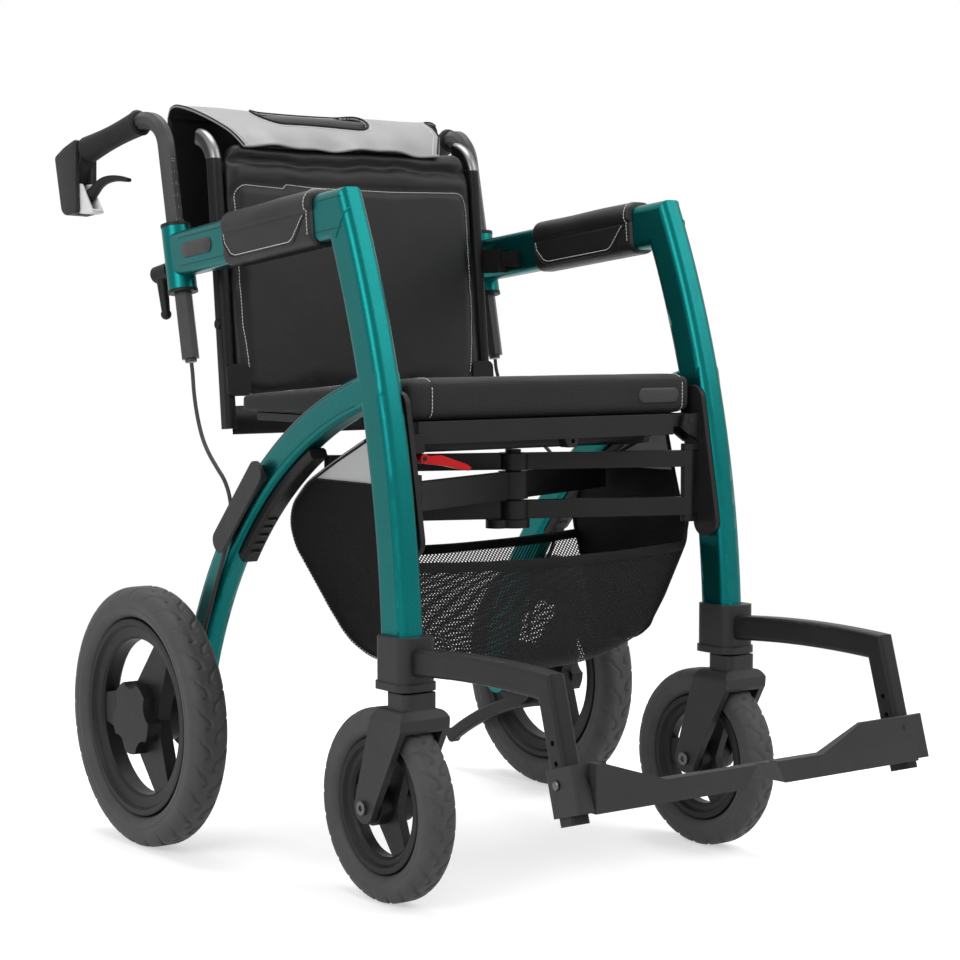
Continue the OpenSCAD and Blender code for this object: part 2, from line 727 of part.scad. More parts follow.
// Footrest: arm from the caster block, mitred elbow, leg with a row of holes
foot_arm_dir = [-cos(foot_arm_slope), sin(foot_arm_slope)];
foot_leg_dir = [sin(foot_tilt), cos(foot_tilt)];
foot_outer = meet(elbow + turned(foot_leg_dir) * foot_leg_w / 2, foot_leg_dir,
                  elbow - turned(foot_arm_dir) * foot_arm_h / 2, foot_arm_dir);
foot_inner = meet(elbow - turned(foot_leg_dir) * foot_leg_w / 2, foot_leg_dir,
                  elbow + turned(foot_arm_dir) * foot_arm_h / 2, foot_arm_dir);

// Frame of the footrest leg: +Z up along it, from the elbow
module on_foot_leg() {
    translate([-side_x, elbow[0], elbow[1]]) rotate([-foot_tilt, 0, 0]) children();
}

module footrest_arm() {
    centre = elbow + foot_arm_r * turned(foot_arm_dir);
    from = acos((foot_root[0] + 8 - centre[0]) / foot_arm_r);
    color(plastic) {
        difference() {
            translate([-side_x, centre[0], centre[1]]) rotate([90, 0, 90]) rotate([0, 0, from])
                rotate_extrude(angle = 12, $fn = 360) translate([foot_arm_r, 0])
                    rounded_rect(foot_arm_h, foot_tube_w, 5);
            mitre_side(foot_inner, foot_outer, 1);
            across(-side_x - 40, -side_x + 40) translate([foot_root[0] - 0.3, 0]) square([90, 600]);
        }
        difference() {
            on_foot_leg() translate([0, 0, -foot_leg]) linear_extrude(height = 230)
                rounded_rect(foot_tube_w, foot_leg_w, 5);
            mitre_side(foot_inner, foot_outer, -1);
            on_foot_leg() for (i = [0 : 2]) translate([-20, 0, button_s + hole_step * i])
                rotate([0, 90, 0]) cylinder(d = 5.6, h = 40, $fn = 32);
        }
        foot_socket(0);
    }
}

module foot_block() {
    outer = foot_tube_w / 2 + slide + foot_block_wall;
    inner = side_x - plate_pin[0] + 8;
    rear = foot_leg_w / 2 + slide + foot_block_wall;
    seam = 0.5;
    color(plastic) difference() {
        on_foot_leg() translate([(inner - outer) / 2, (rear - foot_block_front) / 2, foot_block_top - foot_block_h])
            linear_extrude(height = foot_block_h) rounded_rect(inner + outer, rear + foot_block_front, 4);
        on_foot_leg() translate([0, 0, -200]) linear_extrude(height = 200)
            rounded_rect(foot_tube_w + 2 * slide, foot_leg_w + 2 * slide, 5 + slide);
        on_foot_leg() translate([-40, 0, button_s]) rotate([0, 90, 0]) cylinder(d = 9.7, h = 30, $fn = 48);
        y_pin([-plate_pin[0], plate_pin[1]], 6 + 2 * run, plate_front - 20, plate_front + 50);
        along(plate_front - 20, plate_front) translate([-side_x - 40, 100]) square([90, 150]);
        along(plate_front - 20, plate_front + plate_lip + seam) {
            translate([-plate_edge - seam, 100]) square([60, plate_pin[1] - 100]);
            translate([-plate_pin[0], plate_pin[1]]) circle(r = 21.5, $fn = 64);
            translate([-plate_pin[0], 100]) square([60, 150]);
        }
    }
}

module foot_button() {
    color(steel) on_foot_leg() translate([-foot_tube_w / 2 - slide - foot_block_wall - 3, 0, button_s]) rotate([0, 90, 0]) {
        translate([0, 0, 1]) cylinder(d = 9, h = 3, $fn = 48);
        cylinder(d1 = 6.5, d2 = 9, h = 1.01, $fn = 48);
    }
}

// Plate body behind the front lip, sinking toward the heel
module plate_body(x0, x1) {
    across(x0, x1) polygon([[plate_front, plate_low], [plate_front, plate_low + plate_band],
                            [plate_front + plate_depth, plate_low + 5], [plate_front + plate_depth, plate_low - 2]]);
}

module right_footplate() {
    color(plastic) {
        along(plate_front, plate_front + plate_lip)
            polygon([[-plate_edge, plate_low], [-plate_edge, plate_high], [9 - plate_edge, plate_high], [89 - plate_edge, plate_low + plate_band],
                     [-plate_gap_top / 2, plate_low + plate_band], [-plate_gap_low / 2, plate_low]]);
        difference() {
            plate_body(-plate_body_x, -plate_gap_top / 2);
            along(plate_front - 1, plate_front + plate_depth + 1)
                polygon([[-plate_gap_top / 2, plate_low + plate_band], [-plate_gap_low / 2, plate_low],
                         [-plate_gap_low / 2 - 4, plate_low - 6], [2, plate_low - 6]]);
        }
        y_pin([-plate_pin[0], plate_pin[1]], 6, plate_front + 2, plate_front + 34);
    }
}

// Drawn on the right side and mirrored: its toe edge slants back up to a flat top
module left_footplate() {
    color(plastic) {
        along(plate_front, plate_front + plate_lip)
            polygon([[-plate_edge, plate_low], [-plate_edge, plate_low + plate_band],
                     [-plate_gap_top / 2, plate_low + plate_band], [-plate_gap_low / 2, plate_low]]);
        intersection() {
            along(plate_front, plate_front + plate_lip)
                polygon([[-plate_edge, plate_low + 2], [-plate_edge, plate_high], [82 - plate_edge, plate_high],
                         [144 - plate_edge, plate_low + plate_band - 0.5]]);
            across(-plate_edge - 4, 152 - plate_edge)
                polygon([[plate_front, plate_low], [plate_front, plate_low + plate_band],
                         [plate_front + 6, plate_high], [plate_front + 20, plate_high], [plate_front + 20, plate_low]]);
        }
        difference() {
            plate_body(-plate_body_x, -plate_gap_top / 2);
            along(plate_front - 1, plate_front + plate_depth + 1)
                polygon([[-plate_gap_top / 2, plate_low + plate_band], [-plate_gap_low / 2, plate_low],
                         [-plate_gap_low / 2 - 4, plate_low - 6], [2, plate_low - 6]]);
        }
        y_pin([-plate_pin[0], plate_pin[1]], 6, plate_front + 2, plate_front + 34);
    }
}

module arm_pad() {
    pad_rear_y = 94;
    pad_l = 198;
    pad_t = 5;
    color(fabric) difference() {
        translate([-side_x, pad_rear_y, arm_z(pad_rear_y)]) rotate([90 - arm_slope, 0, 0])
            linear_extrude(height = pad_l)
                rounded_rect(tube_t + 2 * pad_t, arm_w + 2 * pad_t, tube_r + pad_t);
        armrest_tube(fit);
    }
}

// Back upright with its rearward bend and the mount on the armrest tube
module back_upright() {
    l = (back_bend_z - back_low_z) / cos(back_lean);
    mount_y = back_low_y - 22;
    mount_z = arm_z(mount_y);
    tab_w = 32;
    tab_h = 38;
    tab_z = 57;
    color(dark) {
        translate([-back_x, back_low_y, back_low_z]) rotate([-back_lean, 0, 0]) {
            linear_extrude(height = l) rounded_rect(back_tube_t, back_tube_w, 6.5);
            translate([0, back_bend_r, l]) rotate([90, 0, 90]) rotate([0, 0, 105])
                rotate_extrude(angle = 75 + weld_lap, $fn = 120) translate([back_bend_r, 0])
                    rounded_rect(back_tube_w - weld_step, back_tube_t - weld_step, 6.5);
            translate([-9, 0, 125]) rotate([0, 90, 0]) cylinder(d = 12, h = 4, $fn = 48);
            translate([tab_w / 2 - back_tube_t / 2, -back_tube_w / 2 - 1, tab_z]) rotate([90, 0, 0])
                linear_extrude(height = 3) rounded_rect(tab_w, tab_h, 8);
            translate([-5, -back_tube_w / 2 - 2, tab_z - tab_h / 2 + 2]) cube([10, 6, tab_h - 4]);
        }
        translate([-frame_in + fit, mount_y, mount_z - 24]) cube([frame_in - back_x - back_tube_t / 2 + 2, 46, 30]);
        translate([-frame_in + fit, mount_y - 28, mount_z - 16]) cube([9, 40, 18]);
    }
}

// Cushion with a crowned top and rounded edges, drawn in at the sides
module seat_cushion() {
    low = seat_top_z - seat_cushion_t;
    crown_r = 2600;
    color(fabric) right() intersection() {
        along(seat_front_y, seat_front_y + seat_depth)
            translate([0, low + seat_cushion_t / 2]) rounded_rect(seat_w, seat_cushion_t, 13);
        across(-seat_w, seat_w) translate([seat_front_y + seat_depth / 2, low + seat_cushion_t / 2])
            rounded_rect(seat_depth, seat_cushion_t, 13);
        translate([0, seat_front_y - 10, seat_top_z - crown_r]) rotate([-90, 0, 0])
            cylinder(r = crown_r, h = seat_depth + 20, $fn = 180);
    }
}

module seat_bar() {
    base_rear_y = 110;
    lug_x = 22;
    color(dark) right() difference() {
        union() {
            translate([seat_bar_right, seat_front_y, seat_bar_z])
                cube([seat_pivot_x - 22 - seat_bar_right, seat_bar_d, seat_bar_h]);
            translate([seat_bar_right, seat_front_y + 10, seat_bar_z + seat_bar_h - seat_base_t])
                cube([seat_pivot_x - 22 - seat_bar_right, base_rear_y - seat_front_y - 10, seat_base_t]);
            y_pin([seat_pivot_x, seat_pivot_z], seat_knuckle_d - 4, seat_front_y + 0.5, seat_front_y + 20);
            translate([seat_pivot_x - 24, seat_front_y + 0.5, seat_pivot_z - 7]) cube([24, 19.5, 14]);
            along(seat_front_y + 1, seat_front_y + 15)
                polygon([[lug_x - 12, seat_bar_z + 1], [lug_x - 7, seat_bar_z - 10], [lug_x + 5, seat_bar_z - 10],
                         [lug_x + 8, seat_bar_z + 1]]);
            y_pin([seat_pivot_x, seat_pivot_z], seat_pin_d, seat_front_y - 6.5, seat_front_y + 26.5);
        }
        translate([lug_x, seat_front_y - 1, seat_bar_z - 3]) rotate([-90, 0, 0]) cylinder(d = 5, h = 30, $fn = 32);
    }
}

// Red lever on the cradle under the right end of the seat bar
module latch_lever() {
    color([0.75, 0.03, 0.05]) right() difference() {
        union() {
            y_pin(latch_pivot, 10.6, seat_front_y - 3.5, seat_front_y + 12);
            along(seat_front_y - 3, seat_front_y + 9)
                polygon([for (p = [[-2, 5], [10, 2], [22, 3], [56, -8], [62, -12], [58, -15], [30, -9], [-2, -5]])
                    latch_pivot + p]);
        }
        y_pin(latch_pivot, latch_pin_d + 2 * run, seat_front_y - 10, seat_front_y + 20);
    }
}

// Right brace arm: one bar, hinged on the right frame, with the centre post fixed in it
module brace_arm_right() {
    post_d = 18;
    color(dark) right() difference() {
        union() {
            brace_bar(brace_mid_z, brace_mid_h, -brace_angle);
            translate([0, centre_y, brace_low_z - 10]) cylinder(d = post_d, h = brace_top_z + brace_top_h - brace_low_z + 14, $fn = 64);
            translate([0, centre_y, brace_low_z - 10]) cylinder(d = 38, h = 9.5, $fn = 64);
            translate([-20, centre_y + 4, brace_low_z - 10]) cylinder(d = 26, h = 9.5, $fn = 64);
            hinge_barrel(brace_mid_z - knuckle_lip, brace_mid_h + 2 * knuckle_lip, knuckle_d);
        }
        hinge_barrel(brace_mid_z - 1, brace_mid_h + 2, hinge_pin_d + 2 * run);
    }
}

// Straight bar through the centre at a turn about the post
module brace_bar(z, h, turn) {
    end_r = 8;
    short = 3; // the bar ends inside its hinge barrel
    translate([0, centre_y, z]) rotate([0, 0, -turn]) {
        translate([short - brace_half, -brace_t / 2, 0]) cube([2 * brace_half - short, brace_t, h]);
        translate([brace_half, 0, 0]) cylinder(r = end_r, h = h, $fn = 48);
        cylinder(d = 34, h = h, $fn = 64);
    }
}

// Left brace arm: two bars, hinged on the left frame, turning about the centre post
module brace_arm_left() {
    post_d = 18;
    color(dark) right() difference() {
        union() {
            mirror([1, 0, 0]) {
                brace_bar(brace_low_z, brace_low_h, -brace_angle);
                brace_bar(brace_top_z, brace_top_h, -brace_angle);
                hinge_barrel(brace_low_z - knuckle_lip, brace_top_z + brace_top_h - brace_low_z + 2 * knuckle_lip, knuckle_d);
            }
        }
        translate([0, centre_y, brace_low_z - 1]) cylinder(d = post_d + 2 * run, h = 100, $fn = 64);
        mirror([1, 0, 0]) hinge_barrel(brace_low_z - 1, 100, hinge_pin_d + 2 * run);
    }
}

// Basket: sheet from the front hem round the bottom to the rear hem, and two side panels
module basket() {
    wall = 2.2;
    half = frame_in - 2;
    sheet = [[-204, 384], [-178, 280], [-160, 252], [-140, 242], [-112, 256], [-84, 286], [22, 398], [12, 424]];
    inner = [[10, 424], [19, 399.5], [-86, 288], [-113.5, 258.5], [-140, 244.6], [-158.5, 254], [-175.8, 281],
             [-201.6, 384]];
    panel = [[-204, 384], [-178, 280], [-160, 252], [-140, 242], [-112, 256], [-84, 286], [22, 398], [12, 424],
             [-60, 452], [-130, 480], [-160, 480], [-176, 430], [-180, 384]];
    color(fabric) right() {
        across(-half, half) polygon(concat(sheet, inner));
        for (x = [-half, half - wall]) across(x, x + wall) polygon(panel);
    }
}

// Back pad between the uprights: crowned slab with two rolls on top
module back_pad() {
    low_z = 520;
    high_z = 770;
    band_h = 46;
    half = back_x - back_tube_t / 2 - rest;
    roll_d = back_pad_t + 4;
    l = (high_z - low_z) / cos(back_lean);
    crown_r = 1500;
    color(fabric) right() translate([0, back_y(low_z), low_z]) rotate([-back_lean, 0, 0]) {
        intersection() {
            translate([0, 0, 0]) linear_extrude(height = l + 4) rounded_rect(2 * half, back_pad_t, back_pad_t * 0.45);
            translate([-half - 1, 0, l / 2]) rotate([0, 90, 0])
                linear_extrude(height = 2 * half + 2) rounded_rect(l + 8, back_pad_t, 8);
            translate([0, crown_r - back_pad_t / 2, -10]) cylinder(r = crown_r, h = l + 20, $fn = 180);
        }
        for (i = [0, 1]) translate([-half + 4 + 6 * i, -1, l + 6 + i * (roll_d - 4)]) rotate([0, 90, 0])
            cylinder(d = roll_d, h = 2 * half - 8 - 12 * i, $fn = 64);
        translate([-half, 4, -40]) cube([2 * half, 5, band_h]);
    }
}

// Flap over the bent ends of the uprights and the cover that hangs behind
module back_cover() {
    half = back_x + 12;
    t = 2.5;
    slot_w = 150;
    outer = [[20, 836], [36, 846], [66, 864], [96, 874], [114, 872], [120, 862], [120, 696]];
    inner = [[120 - t, 696], [120 - t, 861], [113, 869.5], [96, 871.5], [67, 861.6], [37, 843.6], [20, 833.4]];
    color(fabric) right() translate([0, back_low_y, 0]) {
        difference() {
            across(-half, half) polygon(concat(outer, inner));
            translate([-slot_w / 2, 78, 855]) cube([slot_w, 24, 40]);
        }
        translate([-slot_w / 2 - 8, 90, 862]) rotate([0, 90, 0]) cylinder(d = 17, h = slot_w + 16, $fn = 48);
    }
}

right() side_frame();  // right_side_frame
left() side_frame();  // left_side_frame
right() sleeve_bushes();  // right_sleeve_bushes
left() sleeve_bushes();  // left_sleeve_bushes
right() handle_post();  // right_handle_post
left() handle_post();  // left_handle_post
right() handle_grip();  // right_handle_grip
left() handle_grip();  // left_handle_grip
right() brake_housing();  // right_brake_housing
left() brake_housing();  // left_brake_housing
right() brake_lever();  // right_brake_lever
left() brake_lever();  // left_brake_lever
right() brake_guide();  // right_brake_guide
left() brake_guide();  // left_brake_guide
right() clamp_lever();  // right_clamp_lever
left() clamp_lever();  // left_clamp_lever
right() brake_cable();  // right_brake_cable
left() brake_cable();  // left_brake_cable
right() cable_cover();  // right_cable_cover
left() cable_cover();  // left_cable_cover
right() rear_rail();  // right_rear_rail
left() rear_rail();  // left_rear_rail
right() right_hinge_plate();
left() left_hinge_plate();
right() caster_block();  // right_caster_block
left() caster_block();  // left_caster_block
right() caster_fork();  // right_caster_fork
left() caster_fork();  // left_caster_fork
right() front_tyre();  // right_front_tyre
left() front_tyre();  // left_front_tyre
right() front_rim();  // right_front_rim
left() front_rim();  // left_front_rim
right() front_axle();  // right_front_axle
left() front_axle();  // left_front_axle
right() rear_tyre();  // right_rear_tyre
left() rear_tyre();  // left_rear_tyre
right() rear_rim();  // right_rear_rim
left() rear_rim();  // left_rear_rim
right() rear_axle();  // right_rear_axle
left() left_rear_axle();
right() footrest_arm();  // right_footrest_arm
left() footrest_arm();  // left_footrest_arm
right() foot_block();  // right_foot_block
left() foot_block();  // left_foot_block
right() foot_button();  // right_foot_button
left() foot_button();  // left_foot_button
right() right_footplate();
left() left_footplate();
right() arm_pad();  // right_arm_pad
left() arm_pad();  // left_arm_pad
right() back_upright();  // right_back_upright
left() back_upright();  // left_back_upright
seat_cushion();
seat_bar();
latch_lever();
brace_arm_right();
brace_arm_left();
basket();
back_pad();
back_cover();
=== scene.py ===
import json
import math

import bmesh
import bpy
import numpy as np
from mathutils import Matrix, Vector
from mathutils.bvhtree import BVHTree


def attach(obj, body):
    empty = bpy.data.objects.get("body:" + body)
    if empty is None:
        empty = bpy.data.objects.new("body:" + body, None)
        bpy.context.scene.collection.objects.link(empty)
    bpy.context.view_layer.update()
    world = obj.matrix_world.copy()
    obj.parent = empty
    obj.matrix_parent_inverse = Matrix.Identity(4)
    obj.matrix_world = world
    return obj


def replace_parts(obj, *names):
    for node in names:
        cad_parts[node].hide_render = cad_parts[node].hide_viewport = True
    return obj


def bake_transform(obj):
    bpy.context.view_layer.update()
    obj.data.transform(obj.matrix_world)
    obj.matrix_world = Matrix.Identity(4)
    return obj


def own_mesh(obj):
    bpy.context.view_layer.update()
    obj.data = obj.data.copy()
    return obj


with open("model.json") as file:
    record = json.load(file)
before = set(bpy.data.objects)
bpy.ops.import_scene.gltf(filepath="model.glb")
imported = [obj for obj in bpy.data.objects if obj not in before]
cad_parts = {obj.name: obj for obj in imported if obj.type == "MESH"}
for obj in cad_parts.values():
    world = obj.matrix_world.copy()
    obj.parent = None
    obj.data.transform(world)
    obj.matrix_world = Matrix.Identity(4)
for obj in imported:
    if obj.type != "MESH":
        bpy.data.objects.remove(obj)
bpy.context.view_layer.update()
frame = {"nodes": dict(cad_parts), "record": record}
nodes = frame["nodes"]

# Sizes shared with the solids, in millimetres, with Y from the drawing's own origin
MM = 0.001
ORIGIN_Y = 48.45
SIDES = (("right", -1), ("left", 1))
SIDE_X = 227
TUBE_T = 31
TUBE_R = 10
ARM_W = 53
ARM_SLOPE = math.radians(5.8)
ARM_FRONT = (-134.3, 730)
REAR_R = 520
REAR_CENTRE = (-314, 38)
SLEEVE = (224.5, 689.55)
POST_TILT = math.radians(12)
HANDLE_SPLAY = math.radians(8)
POST_AF = 20
SEAT_TOP = 556
SEAT_LOW = 509
SEAT_HALF = 203.5
SEAT_Y = (-216, 134)
BACK_LOW = (172, 487)
BACK_LEAN = math.radians(5.5)
BASKET_HALF = 209.5


# Finishes

def tone(*rgb):
    """A colour as seen on a screen, 0 to 255, in the linear values that a shader takes."""
    rgb = rgb * 3 if len(rgb) == 1 else rgb
    shares = [c / 255 for c in rgb]
    return (*[c / 12.92 if c < 0.04045 else ((c + 0.055) / 1.055) ** 2.4 for c in shares], 1.0)


class Value:
    """A socket in a graph. Arithmetic on it adds Math nodes."""

    def __init__(self, graph, socket):
        self.graph = graph
        self.socket = socket

    def math(self, operation, *inputs):
        return self.graph.node("ShaderNodeMath", {"operation": operation}, [self, *inputs])

    def __add__(self, other):
        return self.math("ADD", other)

    def __mul__(self, other):
        return self.math("MULTIPLY", other)

    def __sub__(self, other):
        return self.math("SUBTRACT", other)

    def __rsub__(self, other):
        return self.graph.node("ShaderNodeMath", {"operation": "SUBTRACT"}, [other, self])

    __radd__ = __add__
    __rmul__ = __mul__

    def sine(self):
        return self.math("SINE")

    def size(self):
        return self.math("ABSOLUTE")

    def most(self, other):
        return self.math("MAXIMUM", other)

    def above(self, edge, soft):
        """0 below the edge and 1 above it, with a soft step between."""
        return self.graph.node(
            "ShaderNodeMapRange", {"interpolation_type": "SMOOTHSTEP"},
            {"Value": self, "From Min": edge - soft, "From Max": edge + soft})


class Graph:
    """A tree of shader nodes."""

    def __init__(self, tree):
        self.tree = tree

    def join(self, socket, value):
        if isinstance(value, Value):
            self.tree.links.new(value.socket, socket)
        else:
            socket.default_value = value

    def node(self, kind, settings=None, inputs=None, out=0):
        made = self.tree.nodes.new(kind)
        for setting, value in (settings or {}).items():
            setattr(made, setting, value)
        pairs = inputs.items() if isinstance(inputs, dict) else enumerate(inputs or [])
        for key, value in pairs:
            self.join(made.inputs[key], value)
        return Value(self, made.outputs[out])

    def axes(self, point):
        split = self.node("ShaderNodeSeparateXYZ", inputs=[point])
        return [Value(self, out) for out in split.socket.node.outputs]

    def shown_white(self):
        """1 for what the camera sees, straight or by gloss and glass, and 0 for soft light."""
        camera, gloss, glass = [self.node("ShaderNodeLightPath", out=f"Is {kind} Ray")
                                for kind in ("Camera", "Glossy", "Transmission")]
        return camera.most(gloss).most(glass)


class Finish(Graph):
    """A procedural material around one Principled shader."""

    def __init__(self, name, color, roughness, **fixed):
        self.material = bpy.data.materials.new(name)
        self.material.use_nodes = True
        super().__init__(self.material.node_tree)
        self.shader = self.tree.nodes["Principled BSDF"]
        self.set("Base Color", color)
        self.set("Roughness", roughness)
        for socket, value in fixed.items():
            self.set(socket.replace("_", " "), value)

    def set(self, socket, value):
        self.join(self.shader.inputs[socket], value)

    def place(self):
        return self.node("ShaderNodeTexCoord", out="Object")

    def noise(self, size, detail=2.0):
        """Cloudy values about 0.5, with features of a size in metres."""
        return self.node("ShaderNodeTexNoise",
                         inputs={"Vector": self.place(), "Scale": 1 / size, "Detail": detail})

    def cells(self, size, feature="F1", out="Distance"):
        return self.node("ShaderNodeTexVoronoi", {"feature": feature},
                         {"Vector": self.place(), "Scale": 1 / size}, out)

    def lattice(self, pitch):
        """A woven check that shows on faces of any direction."""
        a, b, c = [(axis * (2 * math.pi / pitch)).sine() for axis in self.axes(self.place())]
        return a * b + b * c + c * a

    def mix(self, share, one, other):
        return self.node("ShaderNodeMix", {"data_type": "RGBA"}, {0: share, 6: one, 7: other}, 2)

    def shades(self, share, shade, less, more):
        """Colours the surface from one grey to another, so much below and above a shade."""
        self.set("Base Color", self.mix(share, tone(shade - less), tone(shade + more)))

    def bump(self, height, depth, strength, under=None):
        inputs = {"Height": height, "Distance": depth, "Strength": strength}
        if under:
            inputs["Normal"] = under
        return self.node("ShaderNodeBump", inputs=inputs)

    def rounded(self, radius):
        """The surface's direction with its edges rounded off."""
        return self.node("ShaderNodeBevel", {"samples": 4}, {"Radius": radius})


def paint(name, deep, light):
    """Satin metallic paint with fine flakes under a thin clear coat."""
    f = Finish(name, deep, 0.34, Metallic=0.94, Coat_Weight=0.06, Coat_Roughness=0.16)
    flakes = f.cells(0.0006, out="Color")
    grey = f.node("ShaderNodeSeparateColor", inputs=[flakes])
    cloud = f.noise(0.09)
    f.set("Base Color", f.mix(grey * 0.5 + cloud * 0.4, deep, light))
    f.set("Roughness", 0.3 + 0.1 * f.noise(0.02, 4))
    f.set("Normal", f.bump(f.noise(0.0016, 1), 0.00004, 0.5, f.rounded(0.0008)))
    return f.material


def plastic(name, shade, roughness=0.48, grain=0.0009, depth=0.00005, edge=0.0012):
    """Moulded plastic or coated metal with a fine grain, faint marks and rounded edges."""
    f = Finish(name, tone(shade), roughness, Specular_IOR_Level=0.2)
    f.shades(f.noise(0.05, 5), shade, 5, 5)
    f.set("Roughness", roughness - 0.06 + 0.12 * f.noise(0.012, 3))
    f.set("Normal", f.bump(f.cells(grain), depth, 0.7, f.rounded(edge)))
    return f.material


def metal(name, shade, roughness):
    """Bare metal with fine uneven polish."""
    f = Finish(name, tone(shade), roughness, Metallic=1.0)
    lines = f.noise(0.0012, 3)
    f.set("Roughness", roughness - 0.05 + 0.14 * lines)
    f.shades(f.noise(0.03, 3), shade, 12, 10)
    f.set("Normal", f.bump(lines, 0.00002, 0.5, f.rounded(0.0006)))
    return f.material


def tyre_rubber(name, shade):
    """Dull rubber with dust in its pores."""
    f = Finish(name, tone(shade), 0.62, Specular_IOR_Level=0.35)
    f.shades(f.noise(0.035, 6), shade, 7, 9)
    f.set("Roughness", 0.54 + 0.16 * f.noise(0.008, 3))
    f.set("Normal", f.bump(f.noise(0.0011, 2), 0.00006, 0.8))
    return f.material


def cloth(name, shade, pitch, depth=0.00022, spread=9, sheen=0.25):
    """Woven cloth: thread check, uneven dye and soft sheen."""
    f = Finish(name, tone(shade), 0.82, Specular_IOR_Level=0.25,
               Sheen_Weight=sheen, Sheen_Roughness=0.5, Sheen_Tint=tone(150))
    threads = f.lattice(pitch).above(0.2, 1.2)
    cloud = f.noise(0.06, 4)
    f.shades(threads * 0.6 + cloud * 0.4, shade, spread, spread)
    f.set("Roughness", 0.88 - 0.14 * threads)
    folds = f.bump(f.noise(0.045, 2), 0.0012, 0.35)
    f.set("Normal", f.bump(threads, depth, 0.8, folds))
    return f.material


def leather(name, shade, roughness, gloss=0.18):
    """Coated cloth with a pebble grain and shallow creases, painted darker in their hollows as shade."""
    f = Finish(name, tone(shade), roughness, Specular_IOR_Level=gloss)
    pebble = f.cells(0.0016, "DISTANCE_TO_EDGE")
    crease = f.noise(0.05, 4)
    # Painted shade: the colour is darker where the creases sink
    f.shades(crease, shade, 6, 6)
    f.set("Roughness", roughness - 0.07 + 0.14 * f.noise(0.02, 3))
    f.set("Normal", f.bump(pebble.above(0.12, 0.1), 0.00009, 0.7, f.bump(crease, 0.0015, 0.25)))
    return f.material


def net(name, shade, pitch, hole, see_through):
    """Netting with holes in staggered rows, drawn on the piece's own map in metres, the holes painted
    darker as shade.
    """
    f = Finish(name, tone(shade), 0.62, Specular_IOR_Level=0.08)
    u, v = [axis * (math.pi / pitch) for axis in f.axes(f.node("ShaderNodeUVMap"))[:2]]
    dots = ((u + v).sine() * (u - v).sine()).size()
    holes = dots.above(hole, 0.07)
    if see_through:
        f.set("Alpha", 1 - holes)
    # Painted shade: the holes are darker than the threads, standing for the shade behind them where the
    # net is not see-through
    f.shades(holes * 0.7 + f.noise(0.05, 3) * 0.3, shade, -8, -12)
    f.set("Normal", f.bump(dots, -0.0005, 0.8))
    return f.material


def lever_red(name):
    """Glossy red plastic, a little uneven in colour."""
    f = Finish(name, tone(196, 8, 16), 0.36, Specular_IOR_Level=0.25)
    f.set("Base Color", f.mix(f.noise(0.02, 3), tone(178, 2, 8), tone(212, 8, 16)))
    f.set("Normal", f.bump(f.cells(0.0009), 0.00004, 0.6, f.rounded(0.001)))
    return f.material


def upright_finish(name):
    """Dark coated tube whose bent top is bare and polished."""
    f = Finish(name, tone(26), 0.4, Specular_IOR_Level=0.15)
    bare = f.axes(f.place())[2].above(0.809, 0.0008)
    grain = f.noise(0.012, 3)
    f.set("Base Color", f.mix(bare, tone(26), tone(122)))
    f.set("Metallic", bare)
    f.set("Roughness", 0.42 - 0.14 * bare + 0.08 * grain)
    f.set("Normal", f.bump(f.cells(0.0008), 0.00003, 0.6, f.rounded(0.001)))
    return f.material


FINISH = {
    "teal_paint": paint("teal_paint", tone(0, 86, 85), tone(4, 118, 116)),
    "black_plastic": plastic("black_plastic", 25),
    "grey_plastic": plastic("grey_plastic", 47),
    "post_metal": plastic("post_metal", 64, 0.34, 0.0006, 0.00002),
    "grip_rubber": plastic("grip_rubber", 32, 0.66, 0.0014, 0.00012),
    "white_plastic": plastic("white_plastic", 226, 0.4),
    "cable": plastic("cable", 58, 0.4),
    "tyre": tyre_rubber("tyre", 62),
    "steel": metal("steel", 96, 0.36),
    "dark_metal": plastic("dark_metal", 30, 0.42, 0.0007, 0.00003),
    "pad_leather": leather("pad_leather", 26, 0.4, gloss=0.24),
    "seat_fabric": cloth("seat_fabric", 36, 0.0016),
    "mesh_fabric": net("mesh_fabric", 30, 0.0050, 0.58, True),
    "red_plastic": lever_red("red_lever"),
    # Painted reflection: the flap's leatherette gets a pale grey that stands for the light its gloss
    # reflects
    "flap_leather": leather("flap_leather", 136, 0.4, gloss=0.4),
}
THREAD = cloth("thread", 214, 0.0006, 0.0001, 8, 0.1)
REFLECTOR = cloth("reflector", 176, 0.0011, 0.0001, 10, 0.2)
BINDING = cloth("binding", 22, 0.0012, sheen=0.1)
LINING = cloth("lining", 18, 0.0014, sheen=0.05)
BARE_PLATE = plastic("bare_plate", 60, 0.42, edge=0.0006)
MARK = plastic("mark", 205, 0.5)
FRONT_NET = net("front_net", 38, 0.0040, 0.8, True)
CLOSE_NET = net("close_net", 18, 0.0036, 0.5, False)
ROLL = leather("carry_roll", 58, 0.5)
# Painted shade: thin dark lines along the tubes' grooves and edges
PAINTED_SHADE_LINE = plastic("painted_shade_line", 34, 0.5)
UPRIGHT = upright_finish("upright")

for part in frame["record"]["subparts"]:
    name = part["node"]
    finish = FINISH[part["material_slot"]]
    if name.endswith("back_upright"):
        finish = UPRIGHT
    if name.endswith("rear_axle"):
        finish = FINISH["black_plastic"]
    data = nodes[name].data
    data.materials.clear()
    data.materials.append(finish)


# Mesh helpers: points are in millimetres of the drawing

